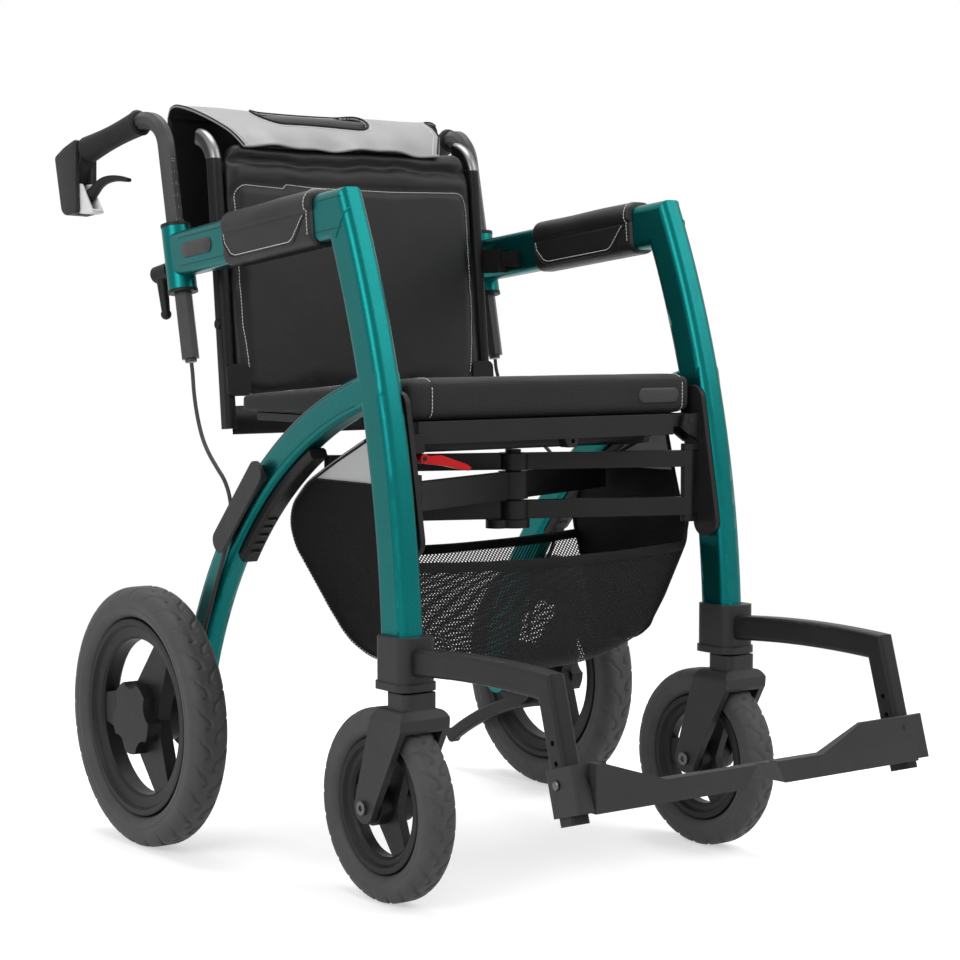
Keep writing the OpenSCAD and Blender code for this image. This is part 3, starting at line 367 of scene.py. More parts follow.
def make_piece(name, points, faces, body, slot, finish=None, maps=None):
    """A mesh of drawing points as a piece that rides on a body, in the slot's finish or its own."""
    mesh = bpy.data.meshes.new(name)
    at = (np.asarray(points, float) + (0, ORIGIN_Y, 0)) * MM
    mesh.from_pydata(at.tolist(), [], [list(f) for f in faces])
    tidy = bmesh.new()
    tidy.from_mesh(mesh)
    bmesh.ops.recalc_face_normals(tidy, faces=tidy.faces)
    tidy.to_mesh(mesh)
    tidy.free()
    if maps is not None:
        layer = mesh.uv_layers.new(name="UVMap")
        for loop in mesh.loops:
            layer.data[loop.index].uv = maps[loop.vertex_index]
    mesh.materials.append(finish or FINISH[slot])
    mesh.polygons.foreach_set("use_smooth", [True] * len(mesh.polygons))
    piece = bpy.data.objects.new(name, mesh)
    bpy.context.scene.collection.objects.link(piece)
    if body:
        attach(piece, body)
    return piece


def grid_faces(rows, columns, round_rows=False, round_columns=False):
    """Faces between the points of a grid, which may close on itself either way."""
    faces = []
    for i in range(rows if round_rows else rows - 1):
        for j in range(columns if round_columns else columns - 1):
            k, m = (i + 1) % rows, (j + 1) % columns
            faces.append((i * columns + j, i * columns + m, k * columns + m, k * columns + j))
    return faces


def smooth_line(points, step):
    """A line through the points as a Catmull-Rom curve, at even steps."""
    p = np.asarray(points, float)
    p = np.vstack([2 * p[0] - p[1], p, 2 * p[-1] - p[-2]])
    t = np.linspace(0, 1, 24, endpoint=False)[:, None]
    parts = []
    for a, b, c, d in zip(p, p[1:], p[2:], p[3:]):
        parts.append(0.5 * (2 * b + (c - a) * t + (2 * a - 5 * b + 4 * c - d) * t ** 2
                            + (3 * b - a - 3 * c + d) * t ** 3))
    return even_line(np.vstack([*parts, p[-2]]), step)


def even_line(points, step):
    """The same line with its points at even steps."""
    p = np.asarray(points, float)
    run = np.r_[0, np.cumsum(np.linalg.norm(np.diff(p, axis=0), axis=1))]
    count = max(2, int(round(run[-1] / step)) + 1)
    at = np.linspace(0, run[-1], count)
    return np.stack([np.interp(at, run, p[:, k]) for k in range(p.shape[1])], axis=1)


def tube(path, radius, sides=10, closed=False):
    """Points and faces of a round tube along a line, with flat ends or closed on itself."""
    p = np.asarray(path, float)
    ahead = np.roll(p, -1, 0) - np.roll(p, 1, 0) if closed else np.gradient(p, axis=0)
    ahead /= np.linalg.norm(ahead, axis=1)[:, None]
    side = np.cross(ahead[0], (0.31, 0.17, 0.93))
    rings = []
    for point, d in zip(p, ahead):
        side = side - d * (side @ d)
        side /= np.linalg.norm(side)
        up = np.cross(d, side)
        turn = 2 * np.pi * np.arange(sides)[:, None] / sides
        rings.append(point + radius * (np.cos(turn) * side + np.sin(turn) * up))
    faces = grid_faces(len(p), sides, closed, True)
    if not closed:
        faces += [tuple(range(sides)), tuple(range((len(p) - 1) * sides, len(p) * sides))]
    return np.vstack(rings), faces


def merged(parts):
    """Several (points, faces) as one."""
    points, faces, start = [], [], 0
    for p, f in parts:
        points.append(p)
        faces += [tuple(i + start for i in face) for face in f]
        start += len(p)
    return np.vstack(points), faces


def stitches(name, path, body, slot, pitch=4.4, length=3.0, radius=0.5):
    """A row of separate stitches along a line."""
    fine = 0.5
    line = even_line(path, fine)
    step, take = int(pitch / fine), int(length / fine)
    parts = [tube(line[i:i + take + 1:2], radius, 6) for i in range(0, len(line) - take, step)]
    return make_piece(name, *merged(parts), body, slot, THREAD)


def laid(piece, path, toward, lift=0.25):
    """A line moved along a direction onto a piece, and a little out of it."""
    bpy.context.view_layer.update()
    tree = BVHTree.FromObject(piece, bpy.context.evaluated_depsgraph_get())
    ray = Vector(toward).normalized()
    found = []
    for p in np.asarray(path, float):
        start = Vector((p + (0, ORIGIN_Y, 0)) * MM) - ray * 0.15
        hit = tree.ray_cast(start, ray, 0.4)[0]
        if hit is not None:
            found.append((np.array(hit) / MM - np.array(ray) * lift) - (0, ORIGIN_Y, 0))
    return np.array(found)


def rounded_loop(half_w, half_h, radius, per_corner=8):
    """Corner points of a rounded rectangle, once round."""
    loop = []
    for k, (sx, sy) in enumerate(((1, 1), (-1, 1), (-1, -1), (1, -1))):
        for i in range(per_corner + 1):
            a = math.pi / 2 * (k + i / per_corner)
            loop.append((sx * (half_w - radius) + radius * math.cos(a),
                         sy * (half_h - radius) + radius * math.sin(a)))
    return np.array(loop)


def outward_of(loop):
    """Directions across a loop's line, to its right as it runs."""
    slope = np.roll(loop, -1, 0) - np.roll(loop, 1, 0)
    return np.column_stack([slope[:, 1], -slope[:, 0]]) / np.linalg.norm(slope, axis=1)[:, None]


def closed_loop(loop, step):
    """Even points round a loop, with the last one step short of the first."""
    return even_line(np.vstack([loop, loop[:1]]), step)[:-1]


def soft_box(half, radius, steps, middle=(0, 0, 0)):
    """A box with rounded edges as an even grid of points around its middle."""
    half = np.array(half, float)
    index, points, faces = {}, [], []

    def vertex(key):
        if key not in index:
            index[key] = len(points)
            unit = np.array([2 * k / n - 1 for k, n in zip(key, steps)])
            flat = unit * half
            core = np.clip(flat, radius - half, half - radius)
            off = flat - core
            size = np.linalg.norm(off)
            points.append(core + off * (radius / size if size else 0))
        return index[key]

    for axis in range(3):
        b, c = [k for k in range(3) if k != axis]
        for end in (0, steps[axis]):
            for i in range(steps[b]):
                for j in range(steps[c]):
                    corners = []
                    for di, dj in ((0, 0), (1, 0), (1, 1), (0, 1)):
                        key = [0, 0, 0]
                        key[axis], key[b], key[c] = end, i + di, j + dj
                        corners.append(vertex(tuple(key)))
                    faces.append(tuple(corners))
    return np.array(points) + middle, faces


def puff(piece, cap, voxel=0.005, pressure=4):
    """Lets cloth with air inside swell a pad for 20 frames, and keeps each point within the cap."""
    bpy.context.view_layer.objects.active = piece
    piece.select_set(True)
    piece.data.remesh_voxel_size = voxel
    bpy.ops.object.voxel_remesh()
    rest = np.array([v.co for v in piece.data.vertices])
    swell = piece.modifiers.new("swell", "CLOTH")
    swell.settings.use_pressure = True
    swell.settings.uniform_pressure_force = pressure
    swell.settings.effector_weights.gravity = 0
    scene = bpy.context.scene
    for step in range(1, 21):
        scene.frame_set(step)
    seen = piece.evaluated_get(bpy.context.evaluated_depsgraph_get())
    moved = np.array([v.co for v in seen.data.vertices]) - rest
    far = np.linalg.norm(moved, axis=1)[:, None]
    moved *= np.minimum(1, cap * MM / np.maximum(far, 1e-9))
    piece.modifiers.remove(swell)
    scene.frame_set(1)
    piece.data.vertices.foreach_set("co", (rest + moved).astype(np.float32).ravel())
    piece.data.polygons.foreach_set("use_smooth", [True] * len(piece.data.polygons))
    piece.data.update()
    piece.select_set(False)


def move_points(piece, change):
    """Moves a piece's points by a function of drawing points."""
    at = np.array([v.co for v in piece.data.vertices]) / MM - (0, ORIGIN_Y, 0)
    at = (change(at) + (0, ORIGIN_Y, 0)) * MM
    piece.data.vertices.foreach_set("co", at.astype(np.float32).ravel())
    piece.data.update()


# Lines of the frame

def arm_point(side, y, up, out):
    """A point beside the armrest's middle line: up from it, and out from the chair."""
    z = ARM_FRONT[1] - (y - ARM_FRONT[0]) * math.tan(ARM_SLOPE)
    return np.array([side * (SIDE_X + out), y + up * math.sin(ARM_SLOPE), z + up * math.cos(ARM_SLOPE)])


def sleeve_point(side, across, v, w):
    """A point of the sleeve's own frame: across, to the rear and along the post."""
    x = across * math.cos(HANDLE_SPLAY) - v * math.sin(HANDLE_SPLAY)
    y = across * math.sin(HANDLE_SPLAY) + v * math.cos(HANDLE_SPLAY)
    return np.array([-side * (x - SIDE_X),
                     SLEEVE[0] + y * math.cos(POST_TILT) + w * math.sin(POST_TILT),
                     SLEEVE[1] - y * math.sin(POST_TILT) + w * math.cos(POST_TILT)])


def back_y(z):
    """The depth of the leaning back at a height."""
    return BACK_LOW[0] + (z - BACK_LOW[1]) * math.tan(BACK_LEAN)


def bare_plate(name, outline, rise, place, body):
    """A bare plate: its outline drawn in over several rises, put in its place by a function."""
    points = [place(u * share, v * share, out) for share, out in rise for u, v in outline]
    faces = grid_faces(len(rise), len(outline), False, True)
    return make_piece(name, points, faces, body, "black_plastic", BARE_PLATE)


def on_right(pieces, name, mesh, slot, finish=None, maps=None):
    """Makes a piece that rides on the right frame, and adds it to a list."""
    pieces.append(make_piece(name, *mesh, "right_frame", slot, finish, maps))
    return pieces[-1]


def sewn_right(pieces, name, path, slot, *sizes):
    """Sews a row of stitches that rides on the right frame, and adds it to a list."""
    pieces.append(stitches(name, path, "right_frame", slot, *sizes))


def folded(pieces):
    """Gives each soft piece its own copy of its mesh."""
    for piece in pieces:
        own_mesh(piece)


# Seat

SEAT_MID = np.array([0, sum(SEAT_Y) / 2, (SEAT_TOP + SEAT_LOW) / 2])
SEAT_INNER = np.array([SEAT_HALF - 1.5, (SEAT_Y[1] - SEAT_Y[0]) / 2 - 1.5,
                       (SEAT_TOP - SEAT_LOW) / 2 - 2.5])
SEAT_WELTS = (-172, 191)
SEAT_SEAMS = (-168.5, 187.5)
SEAT_THINNING = 0.57
BADGE_MID = (151, 530.5)
BADGE_RISE = ((1, -1.2), (1, 0.4), (0.96, 0.9), (0.5, 1.1), (0.02, 1.15))


def seat_shape(p):
    """Crowns the cushion, draws in its welts and thins it toward the rear."""
    x, y = p[:, 0] / SEAT_HALF, (p[:, 1] - SEAT_MID[1]) / SEAT_INNER[1]
    top = np.clip((p[:, 2] - SEAT_MID[2]) / SEAT_INNER[2], 0, 1)
    front = y < -0.9
    p[:, 2] += top * 2.0 * (1 - x ** 2) * (1 - y ** 2)
    p[:, 1] += np.where(front, 0.36 * (1 - np.cos(x * 9)), 0)
    for line in SEAT_WELTS:
        near = np.exp(-((p[:, 0] - line) / 2.2) ** 2)
        p[:, 2] -= top * near * 1.6
        p[:, 1] += np.where(front, near * 1.4, 0)
    rear = np.clip((p[:, 1] - SEAT_Y[0]) / (SEAT_Y[1] - SEAT_Y[0]), 0, 1)
    height = np.clip(p[:, 2], SEAT_LOW + 0.2, SEAT_TOP + 2) - SEAT_LOW
    p[:, 2] = SEAT_LOW + height * (1 - SEAT_THINNING * rear)
    return p


def seat():
    """Cushion with its stitches and badge, and the dark channel and end board under it."""
    mesh = soft_box(SEAT_INNER, 9, (80, 70, 10), SEAT_MID)
    cushion = make_piece("seat_pad", *mesh, "seat", "seat_fabric")
    puff(cushion, 3)
    move_points(cushion, seat_shape)
    pieces = [cushion]
    for line in SEAT_SEAMS:
        down = [(line, SEAT_Y[0] - 20, z) for z in np.linspace(SEAT_LOW + 3, SEAT_TOP - 9, 40)]
        back_run = [(line, y, SEAT_TOP + 30) for y in np.linspace(SEAT_Y[0] + 9, SEAT_Y[1] - 8, 160)]
        for face, run, toward in (("front", down, (0, 1, 0)), ("top", back_run, (0, 0, -1))):
            path = laid(cushion, run, toward)
            pieces.append(stitches(f"seat_{face}_stitch_{int(line)}", path, "seat", "seat_fabric"))

    badge_x, badge_z = BADGE_MID
    face_y = laid(cushion, [(badge_x, SEAT_Y[0] - 40, badge_z)], (0, 1, 0))[0][1]

    def on_front(u, v, out):
        return badge_x + u, face_y - out, badge_z + v

    outline = closed_loop(rounded_loop(30, 8.5, 8), 1.5)
    pieces.append(bare_plate("seat_badge", outline, BADGE_RISE, on_front, "seat"))
    channel = soft_box((180, 9, 14), 3, (30, 4, 5), (-8, SEAT_Y[0] + 52, SEAT_LOW - 22))
    board = soft_box((17, 158, 2.3), 1.5, (6, 40, 3), (184, -29, SEAT_LOW - 2.6))
    make_piece("seat_channel", *merged([channel, board]), "seat", "black_plastic")
    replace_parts(cushion, "seat_cushion")
    for piece in pieces:
        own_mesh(piece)


# Back

BACK_PAD_LOW = 520
BACK_PAD_HALF = 185
BACK_PAD_TOP = 311
BACK_PAD_T = 22
BACK_CORNER = 46
BACK_UP = np.array([0, math.sin(BACK_LEAN), math.cos(BACK_LEAN)])
BACK_FRONT = np.array([0, -math.cos(BACK_LEAN), math.sin(BACK_LEAN)])
BACK_BASE = np.array([0, back_y(BACK_PAD_LOW), BACK_PAD_LOW])
SEAM_SIDE = 171
CREASE = [(u, 286 + 2.2 * math.sin(u / 31) + 1.1 * math.sin(u / 9.5))
          for u in np.linspace(14 - BACK_PAD_HALF, BACK_PAD_HALF - 14, 90)]
BAND_HALF = 183.5
BAND_LOW = -40
BAND_HIGH = -6


def on_back(u, w, n):
    """Points in the back's own plane: across, up from the pad's lower edge and out to the front."""
    u, w, n = [np.asarray(k, float)[..., None] for k in np.broadcast_arrays(u, w, n)]
    return BACK_BASE + u * np.array([1.0, 0, 0]) + w * BACK_UP + n * BACK_FRONT


def off_back(p):
    """The same three measures of given points."""
    q = p - BACK_BASE
    return p[:, 0], q @ BACK_UP, q @ BACK_FRONT


def from_line(u, w, line):
    """Distance of points in a plane from a line of many points."""
    gaps = [np.hypot(u - a, w - b) for a, b in even_line(line, 4)]
    return np.min(gaps, axis=0)


def back_seam():
    """The sewn line on the back's front: up on the right, across, and down on the left."""
    low, high, side, corner = 30, 258, SEAM_SIDE, 16
    turn = np.linspace(0, math.pi / 2, 8)
    seam = [(-side + 6, low), (-side + 1, low + 60), (-side - 1, high - corner)]
    seam += [(-side + corner * (1 - math.cos(a)) - 1, high - corner * (1 - math.sin(a))) for a in turn]
    seam += [(-104, high - 3), (-100, high + 2), (-60, high - 1), (60, high - 2)]
    seam += [(side - corner * (1 - math.sin(a)), high - corner * (1 - math.cos(a))) for a in turn]
    return seam + [(side + 2, high - 90), (side + 1, low + 70), (side - 9, low - 4)]


def back_shape(p):
    """Draws in the pad's corners, sinks its seam and crease, and crowns what lies between."""
    u, w, n = off_back(p)
    bottom = BACK_CORNER - np.clip(w, 0, BACK_CORNER)
    drawn = BACK_PAD_HALF - (BACK_CORNER - np.sqrt(BACK_CORNER ** 2 - bottom ** 2))
    drawn -= 17 * np.clip((w - 265) / 46, 0, 1) ** 2
    u = u * drawn / BACK_PAD_HALF
    front = np.clip(n / (BACK_PAD_T / 2), 0, 1)
    n = n - front * 3.2 * np.exp(-(from_line(u, w, back_seam()) / 5) ** 2)
    n = n - np.sign(n) * np.minimum(np.abs(n), 9.0 * np.exp(-(from_line(u, w, CREASE) / 5.5) ** 2))
    inside = np.clip(1 - (u / SEAM_SIDE) ** 4, 0, 1) * np.clip(1 - ((w - 143) / 118) ** 4, 0, 1)
    n = n + front * (2.6 * inside + 0.7 * np.sin(u / 27 + w / 41) * np.sin(w / 23))
    return on_back(u, w, np.clip(n, -BACK_PAD_T / 2 - 1, BACK_PAD_T / 2 + 4))


def back():
    """Pad with its sewn line, and the band below it."""
    pieces = []
    points, faces = soft_box((BACK_PAD_HALF, BACK_PAD_T / 2, BACK_PAD_TOP / 2), 9, (74, 5, 60))
    at = on_back(points[:, 0], points[:, 2] + BACK_PAD_TOP / 2, points[:, 1])
    pad = on_right(pieces, "back_pad_cover", (at, faces), "pad_leather")
    puff(pad, 4)
    move_points(pad, back_shape)
    line = even_line(back_seam(), 2.5)
    path = laid(pad, on_back(line[:, 0], line[:, 1], 60), -BACK_FRONT)
    sewn_right(pieces, "back_pad_stitch", path, "pad_leather")

    across = np.linspace(-BAND_HALF, BAND_HALF, 80)
    rise = 1.6 * np.cos(across / 118)
    wave = 0.8 * np.sin(across / 37) - 8
    loop = [(BAND_LOW, 2), (BAND_LOW, 5), (BAND_LOW + 1, 6),
            (BAND_HIGH - 1, 6), (BAND_HIGH, 5), (BAND_HIGH, 2)]
    rows = [on_back(across, w + rise * (w > -20), n + wave) for w, n in loop]
    mesh = np.vstack(rows), grid_faces(len(loop), len(across), True, False)
    band = on_right(pieces, "back_band", mesh, "pad_leather")
    hem = laid(band, on_back(across[4:-4], BAND_HIGH - 4.5, 60), -BACK_FRONT)
    sewn_right(pieces, "back_band_stitch", hem, "pad_leather")

    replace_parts(pad, "back_pad")
    folded(pieces)


# Back cover

COVER_HALF = 203
COVER_LINE = [(190, 826), (203, 840), (216, 850), (238, 863), (268, 874), (286, 872), (292, 862)]
COVER_REAR = [(292, 862), (292.5, 806), (292, 750), (291.5, 697)]
COVER_HEM = (705, 852)
FLAP_EDGES = [(190, -157, 130), (215, -172, 150), (240, -188, 156),
              (268, -203, 165), (280, -203, 186), (292, -203, 203)]
SLOT_MID = (-24, 252)
SLOT_HALF = 80
SLOT_REACH = 27


def flap_ends(y):
    """Left and right ends of the top flap where it passes a depth."""
    depth, left, right = np.array(FLAP_EDGES).T
    return np.interp(y, depth, left), np.interp(y, depth, right)


def slot_loop(grow):
    """The rounded slot in the top flap, grown by a margin."""
    turn = np.linspace(-math.pi / 2, math.pi / 2, 14)
    reach = SLOT_REACH + grow
    straight = SLOT_HALF - SLOT_REACH
    loop = [(straight + reach * math.cos(a), reach * math.sin(a)) for a in turn]
    loop += [(-straight - reach * math.cos(a), -reach * math.sin(a)) for a in turn]
    return np.array(loop + loop[:1]) + SLOT_MID


def thick_sheet(piece, thickness, facing, lining=None):
    """Gives a sheet its thickness, half to each side, with closed edges and a lining on its far side."""
    total = sum((face.normal * face.area for face in piece.data.polygons), Vector())
    if total.dot(Vector(facing)) < 0:
        piece.data.flip_normals()
    solid = piece.modifiers.new("thickness", "SOLIDIFY")
    solid.thickness = thickness * MM
    solid.offset = 0
    if lining:
        piece.data.materials.append(lining)
        solid.material_offset = 1
    bpy.context.view_layer.update()
    seen = piece.evaluated_get(bpy.context.evaluated_depsgraph_get())
    mesh = bpy.data.meshes.new_from_object(seen)
    piece.modifiers.clear()
    piece.data = mesh


def in_slot(points):
    """Whether the middle of a face's points lies in the slot."""
    u, v = points.mean(axis=0)[:2] - SLOT_MID
    return math.hypot(max(0, abs(u) - SLOT_HALF + SLOT_REACH), v) < SLOT_REACH


def cover_top(pieces):
    """The top flap, its leatherette painted pale grey for the light its gloss reflects, with its slot,
    bindings and stitches.
    """
    profile = smooth_line([(0, y, z) for y, z in COVER_LINE], 2.4)[:, 1:]
    rows, wide = len(profile), 150
    left, right = flap_ends(profile[:, 0])
    x = (left[:, None] + (right - left)[:, None] * np.linspace(0, 1, wide)).ravel()
    y, z = [np.repeat(profile[:, k], wide) for k in (0, 1)]
    lip = np.clip((222 - y) / 30, 0, 1) ** 1.5
    wave = np.sin(x / 23) + 0.6 * np.sin(x / 9.7 + 1) + 0.5 * np.sin(x / 51 + 2)
    top = np.column_stack([x, y - lip * (2.5 + 1.8 * wave), z - lip * (1.5 - 1.6 * wave)])
    top[:, 2] += 1.1 * np.sin(x / 33) * np.sin(y / 13)
    top[:, 2] -= 3.0 * np.exp(-((x - 20) / 120) ** 2) * np.clip((z - 850) / 24, 0, 1)
    faces = [f for f in grid_faces(rows, wide) if not in_slot(top[list(f)])]
    flap = on_right(pieces, "cover_flap", (top, faces), "flap_leather")
    thick_sheet(flap, 2.2, (0, 0, 1), LINING)

    def on_flap(line, lift=0.25):
        return laid(flap, [(u, v, 920) for u, v in line], (0, 0, -1), lift)

    edge = on_flap(even_line(slot_loop(2), 3), 0.6)
    on_right(pieces, "cover_slot_binding", tube(edge[:-1], 1.7, 8, True), "flap_leather", BINDING)
    sewn_right(pieces, "cover_slot_stitch", on_flap(even_line(slot_loop(6.5), 2.5)), "flap_leather")
    depth = np.linspace(190, 288, 60)
    for k, inward in ((0, 1), (1, -1)):
        end = flap_ends(depth)[k]
        seam = on_flap(np.column_stack([end + inward * 9, depth]))
        sewn_right(pieces, f"cover_end_stitch_{k}", seam, "flap_leather")
        hem = on_flap(np.column_stack([end + inward, depth]), 0.4)
        on_right(pieces, f"cover_end_hem_{k}", tube(hem, 1.1, 8), "flap_leather", BINDING)
    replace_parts(flap, "back_cover")


def cover_rear(pieces):
    """The dark sheet that hangs behind the back, with its sewn hem."""
    rear = smooth_line([(0, y, z) for y, z in COVER_REAR], 7)[:, 1:]
    columns = np.linspace(-COVER_HALF, COVER_HALF, 70)
    rows, wide = len(rear), len(columns)
    x = np.tile(columns, rows)
    y, z = [np.repeat(rear[:, k], wide) for k in (0, 1)]
    fall = np.clip((862 - z) / 165, 0, 1)
    wave = 1.6 * np.sin(x / 41) + 0.9 * np.sin(x / 17 + z / 60)
    outside = np.column_stack([x, y + fall * wave, z])
    panel = on_right(pieces, "cover_rear", (outside, grid_faces(rows, wide)), "pad_leather")
    thick_sheet(panel, 2.4, (0, 1, 0))
    edge = COVER_HALF - 8
    up = np.linspace(*COVER_HEM, 60)
    for name, run in (("low", [(u, 400, COVER_HEM[0]) for u in np.linspace(-edge, edge, 150)]),
                      ("right", [(-edge, 400, h) for h in up]),
                      ("left", [(edge, 400, h) for h in up])):
        sewn_right(pieces, f"cover_rear_stitch_{name}", laid(panel, run, (0, -1, 0)), "pad_leather")


def cover():
    """Top flap, rear sheet and the carry roll that shows in the slot."""
    pieces = []
    cover_top(pieces)
    cover_rear(pieces)
    along = np.linspace(-1, 1, 60)
    spine = np.column_stack([SLOT_MID[0] + 86 * along, np.full(60, 256.0), 856 + 1.2 * np.cos(2 * along)])
    roll = on_right(pieces, "cover_roll", tube(spine, 12, 24), "pad_leather", ROLL)
    folded(pieces)


# Arm pads

PAD_Y = (94, -95)
PAD_RING_Y = -87
PAD_FLAP = [(88, 6), (86, -4), (74, -17), (66, -20), (-48, -20), (-56, -17), (-75, 2), (-81, 6.5)]
PAD_FLAP_EDGE = [(91, 5), (89, -5), (77, -20), (68, -23), (-50, -23), (-59, -20), (-78, 1), (-84, 5)]


def arm_pad(name, side):
    """Padded wrap round the armrest, with a sewn flap on both faces and a sewn front end."""
    body = f"{name}_frame"
    along = np.linspace(*PAD_Y, 90)
    loop = closed_loop(rounded_loop(TUBE_T / 2, ARM_W / 2, TUBE_R), 1.5)
    around = len(loop)
    outward = outward_of(loop)

    def skin(y, k, lift=0.0):
        """The pad's surface: a padded top roll, a crease below it and a thin wrap."""
        up = loop[k][1]
        end = min(PAD_Y[0] - y, y - PAD_Y[1], 6) / 6
        roll = 1 / (1 + math.exp(-(up - 8.5) / 1.3))
        thick = 3.6 + roll * (2.8 + 0.5 * math.sin(y / 19) * math.sin(up / 7))
        thick -= 2.2 * math.exp(-((up - 8.0) / 1.7) ** 2)
        thick = 0.6 + (thick - 0.6) * math.sqrt(max(0.0, 1 - (1 - end) ** 2)) + lift
        out, up = loop[k] + outward[k] * thick
        return arm_point(side, y, up, out)

    points = [skin(y, k) for y in along for k in range(around)]
    faces = grid_faces(len(along), around, False, True)
    pad = make_piece(f"{name}_arm_cover", points, faces, body, "pad_leather")
    for face, hand in (("outer", 1), ("inner", -1)):

        def on_face(line, lift):
            run = [arm_point(side, y, up, 60 * hand) for y, up in even_line(line, 2)]
            return laid(pad, run, (-side * hand, 0, 0), lift)

        stitches(f"{name}_arm_{face}_stitch", on_face(PAD_FLAP, 0.2), body, "pad_leather")
        edge = tube(on_face(PAD_FLAP_EDGE, 0.1), 0.9, 8)
        make_piece(f"{name}_arm_{face}_edge", *edge, body, "pad_leather")
    shown = loop[:, 1] > -18
    first = int(np.argmax(shown & ~np.roll(shown, 1)))
    ring = [skin(PAD_RING_Y, k % around, 0.25) for k in range(first, first + int(shown.sum()))]
    stitches(f"{name}_arm_end_stitch", ring, body, "pad_leather")
    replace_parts(pad, f"{name}_arm_pad")


# Basket

BASKET_SHEET = [(-200, 357), (-180, 293), (-165, 256), (-140, 239), (-112, 239),
                (-84, 250), (-61, 266), (-45, 289), (-12, 340), (-2, 357)]
BASKET_FRONT = [(-140, 239.5), *BASKET_SHEET[2::-1], (-200, 384), (-186, 400), (-176, 430), (-160, 487)]
BASKET_REAR = [(-112, 239.5), *BASKET_SHEET[5:9],
               (5, 365), (8, 389), (-4, 414), (-34, 437), (-85, 461), (-146, 487)]
BASKET_WIDTH = [(227, 0.75), (255, 0.84), (293, 0.895), (356, 0.97), (400, 1.0)]
BASKET_FLOOR = 239
BASKET_TOP = 487
FRONT_NET_Y = -135
GREY_LOW = 440
PANEL_ROWS = 48


def edge_at(line, z):
    """The Y values where a line of (Y, Z) points passes given heights."""
    p = np.array(line)
    return np.interp(z, p[:, 1], p[:, 0])


def basket_half(z):
    """Half the basket's width at a height: it is drawn in toward its foot."""
    height, share = np.array(BASKET_WIDTH).T
    return (BASKET_HALF - 0.8) * np.interp(z, height, share)


def basket_net(pieces):
    """Front, floor and rear in one hanging net, closer in front, with a hem at both ends."""
    profile = smooth_line([(0, y, z) for y, z in BASKET_SHEET], 4)[:, 1:]
    rows, wide = len(profile), 80
    run = np.r_[0, np.cumsum(np.linalg.norm(np.diff(profile, axis=0), axis=1))]
    across = np.tile(np.linspace(-1, 1, wide), rows)
    y, z = [np.repeat(profile[:, k], wide) for k in (0, 1)]
    x = across * basket_half(z)
    belly = 23 * (1 - across ** 4) * np.exp(-((z - BASKET_FLOOR) / 42) ** 2)
    sag = 7 * (1 - across ** 2) * np.clip((z - 300) / 57, 0, 1)
    ripple = np.sin(x / 29) * np.sin(z / 19) + 0.6 * np.sin(x / 17 + z / 33)
    points = np.column_stack([x, y + 1.2 * ripple * (1 - across ** 2), z - belly - sag])
    maps = np.column_stack([x, np.repeat(run, wide)]) * MM
    net_mesh = points, grid_faces(rows, wide)
    sheet = on_right(pieces, "basket_net", net_mesh, "mesh_fabric", maps=maps)
    sheet.data.materials.append(FRONT_NET)
    front_rows = int(np.sum(profile[:, 0] < FRONT_NET_Y))
    for face in sheet.data.polygons:
        face.material_index = int(min(face.vertices) < front_rows * wide)
    grid = points.reshape(rows, wide, 3)
    thick = np.array([0, 2.2, 0])
    for name, top, low in (("front", grid[0], grid[1]), ("rear", grid[-1], grid[-2])):
        down = (low - top) / np.linalg.norm(low - top, axis=1)[:, None]
        foot = top + 10 * down
        loop = [top - thick, top - 2 * down, top + thick, foot + thick, foot - thick]
        hem = np.vstack(loop), grid_faces(len(loop), wide, True, False)
        on_right(pieces, f"basket_hem_{name}", hem, "seat_fabric", BINDING)
    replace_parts(sheet, "basket")


def basket_side(pieces, name, side):
    """Side panel of close net with a grey strip above it, a bound edge and a tape between them."""
    levels = np.r_[np.linspace(BASKET_FLOOR + 0.6, GREY_LOW, PANEL_ROWS),
                   np.linspace(GREY_LOW, BASKET_TOP, 12)[1:]]
    shares = np.linspace(0, 1, 44)
    wide = len(shares)
    front, rear = edge_at(BASKET_FRONT, levels), edge_at(BASKET_REAR, levels)
    y = front[:, None] + (rear - front)[:, None] * shares
    z = np.repeat(levels[:, None], wide, axis=1)
    rise = np.clip((levels - BASKET_FLOOR) / BASKET_FLOOR, 0, 1)
    bulge = np.sin(shares * math.pi)[None, :] * np.sin(rise * math.pi)[:, None]
    ripple = 0.8 * np.sin(y / 15) * np.sin(z / 21)
    x = side * (basket_half(z) - 2.0 * bulge + ripple * bulge)
    points = np.column_stack([x.ravel(), y.ravel(), z.ravel()])
    cut = PANEL_ROWS * wide
    lower = points[:cut], grid_faces(PANEL_ROWS, wide)
    upper = points[cut - wide:], grid_faces(len(levels) - PANEL_ROWS + 1, wide)
    panel = on_right(pieces, f"basket_side_{name}", lower, "mesh_fabric", CLOSE_NET, points[:cut, 1:] * MM)
    grey = on_right(pieces, f"basket_grey_{name}", upper, "seat_fabric", REFLECTOR)

    edge_x = side * basket_half(levels)
    forward = np.column_stack([edge_x, front, levels])[::-1]
    rim = smooth_line(np.vstack([forward, np.column_stack([edge_x, rear, levels])])[::3], 3)
    on_right(pieces, f"basket_binding_{name}", tube(rim, 2.4, 8), "seat_fabric", BINDING)
    sewn = rim + np.array([side * 2.3, 0, 0])
    sewn_right(pieces, f"basket_stitch_{name}", sewn, "seat_fabric", 4.0, 2.6)
    ends = [edge_at(line, GREY_LOW) for line in (BASKET_FRONT, BASKET_REAR)]
    tape = [(side * (BASKET_HALF - 0.2), at, GREY_LOW) for at in np.linspace(*ends, 40)]
    on_right(pieces, f"basket_tape_{name}", tube(tape, 1.0, 6), "seat_fabric", BINDING)


def basket():
    pieces = []
    basket_net(pieces)
    for name, side in SIDES:
        basket_side(pieces, name, side)
    folded(pieces)


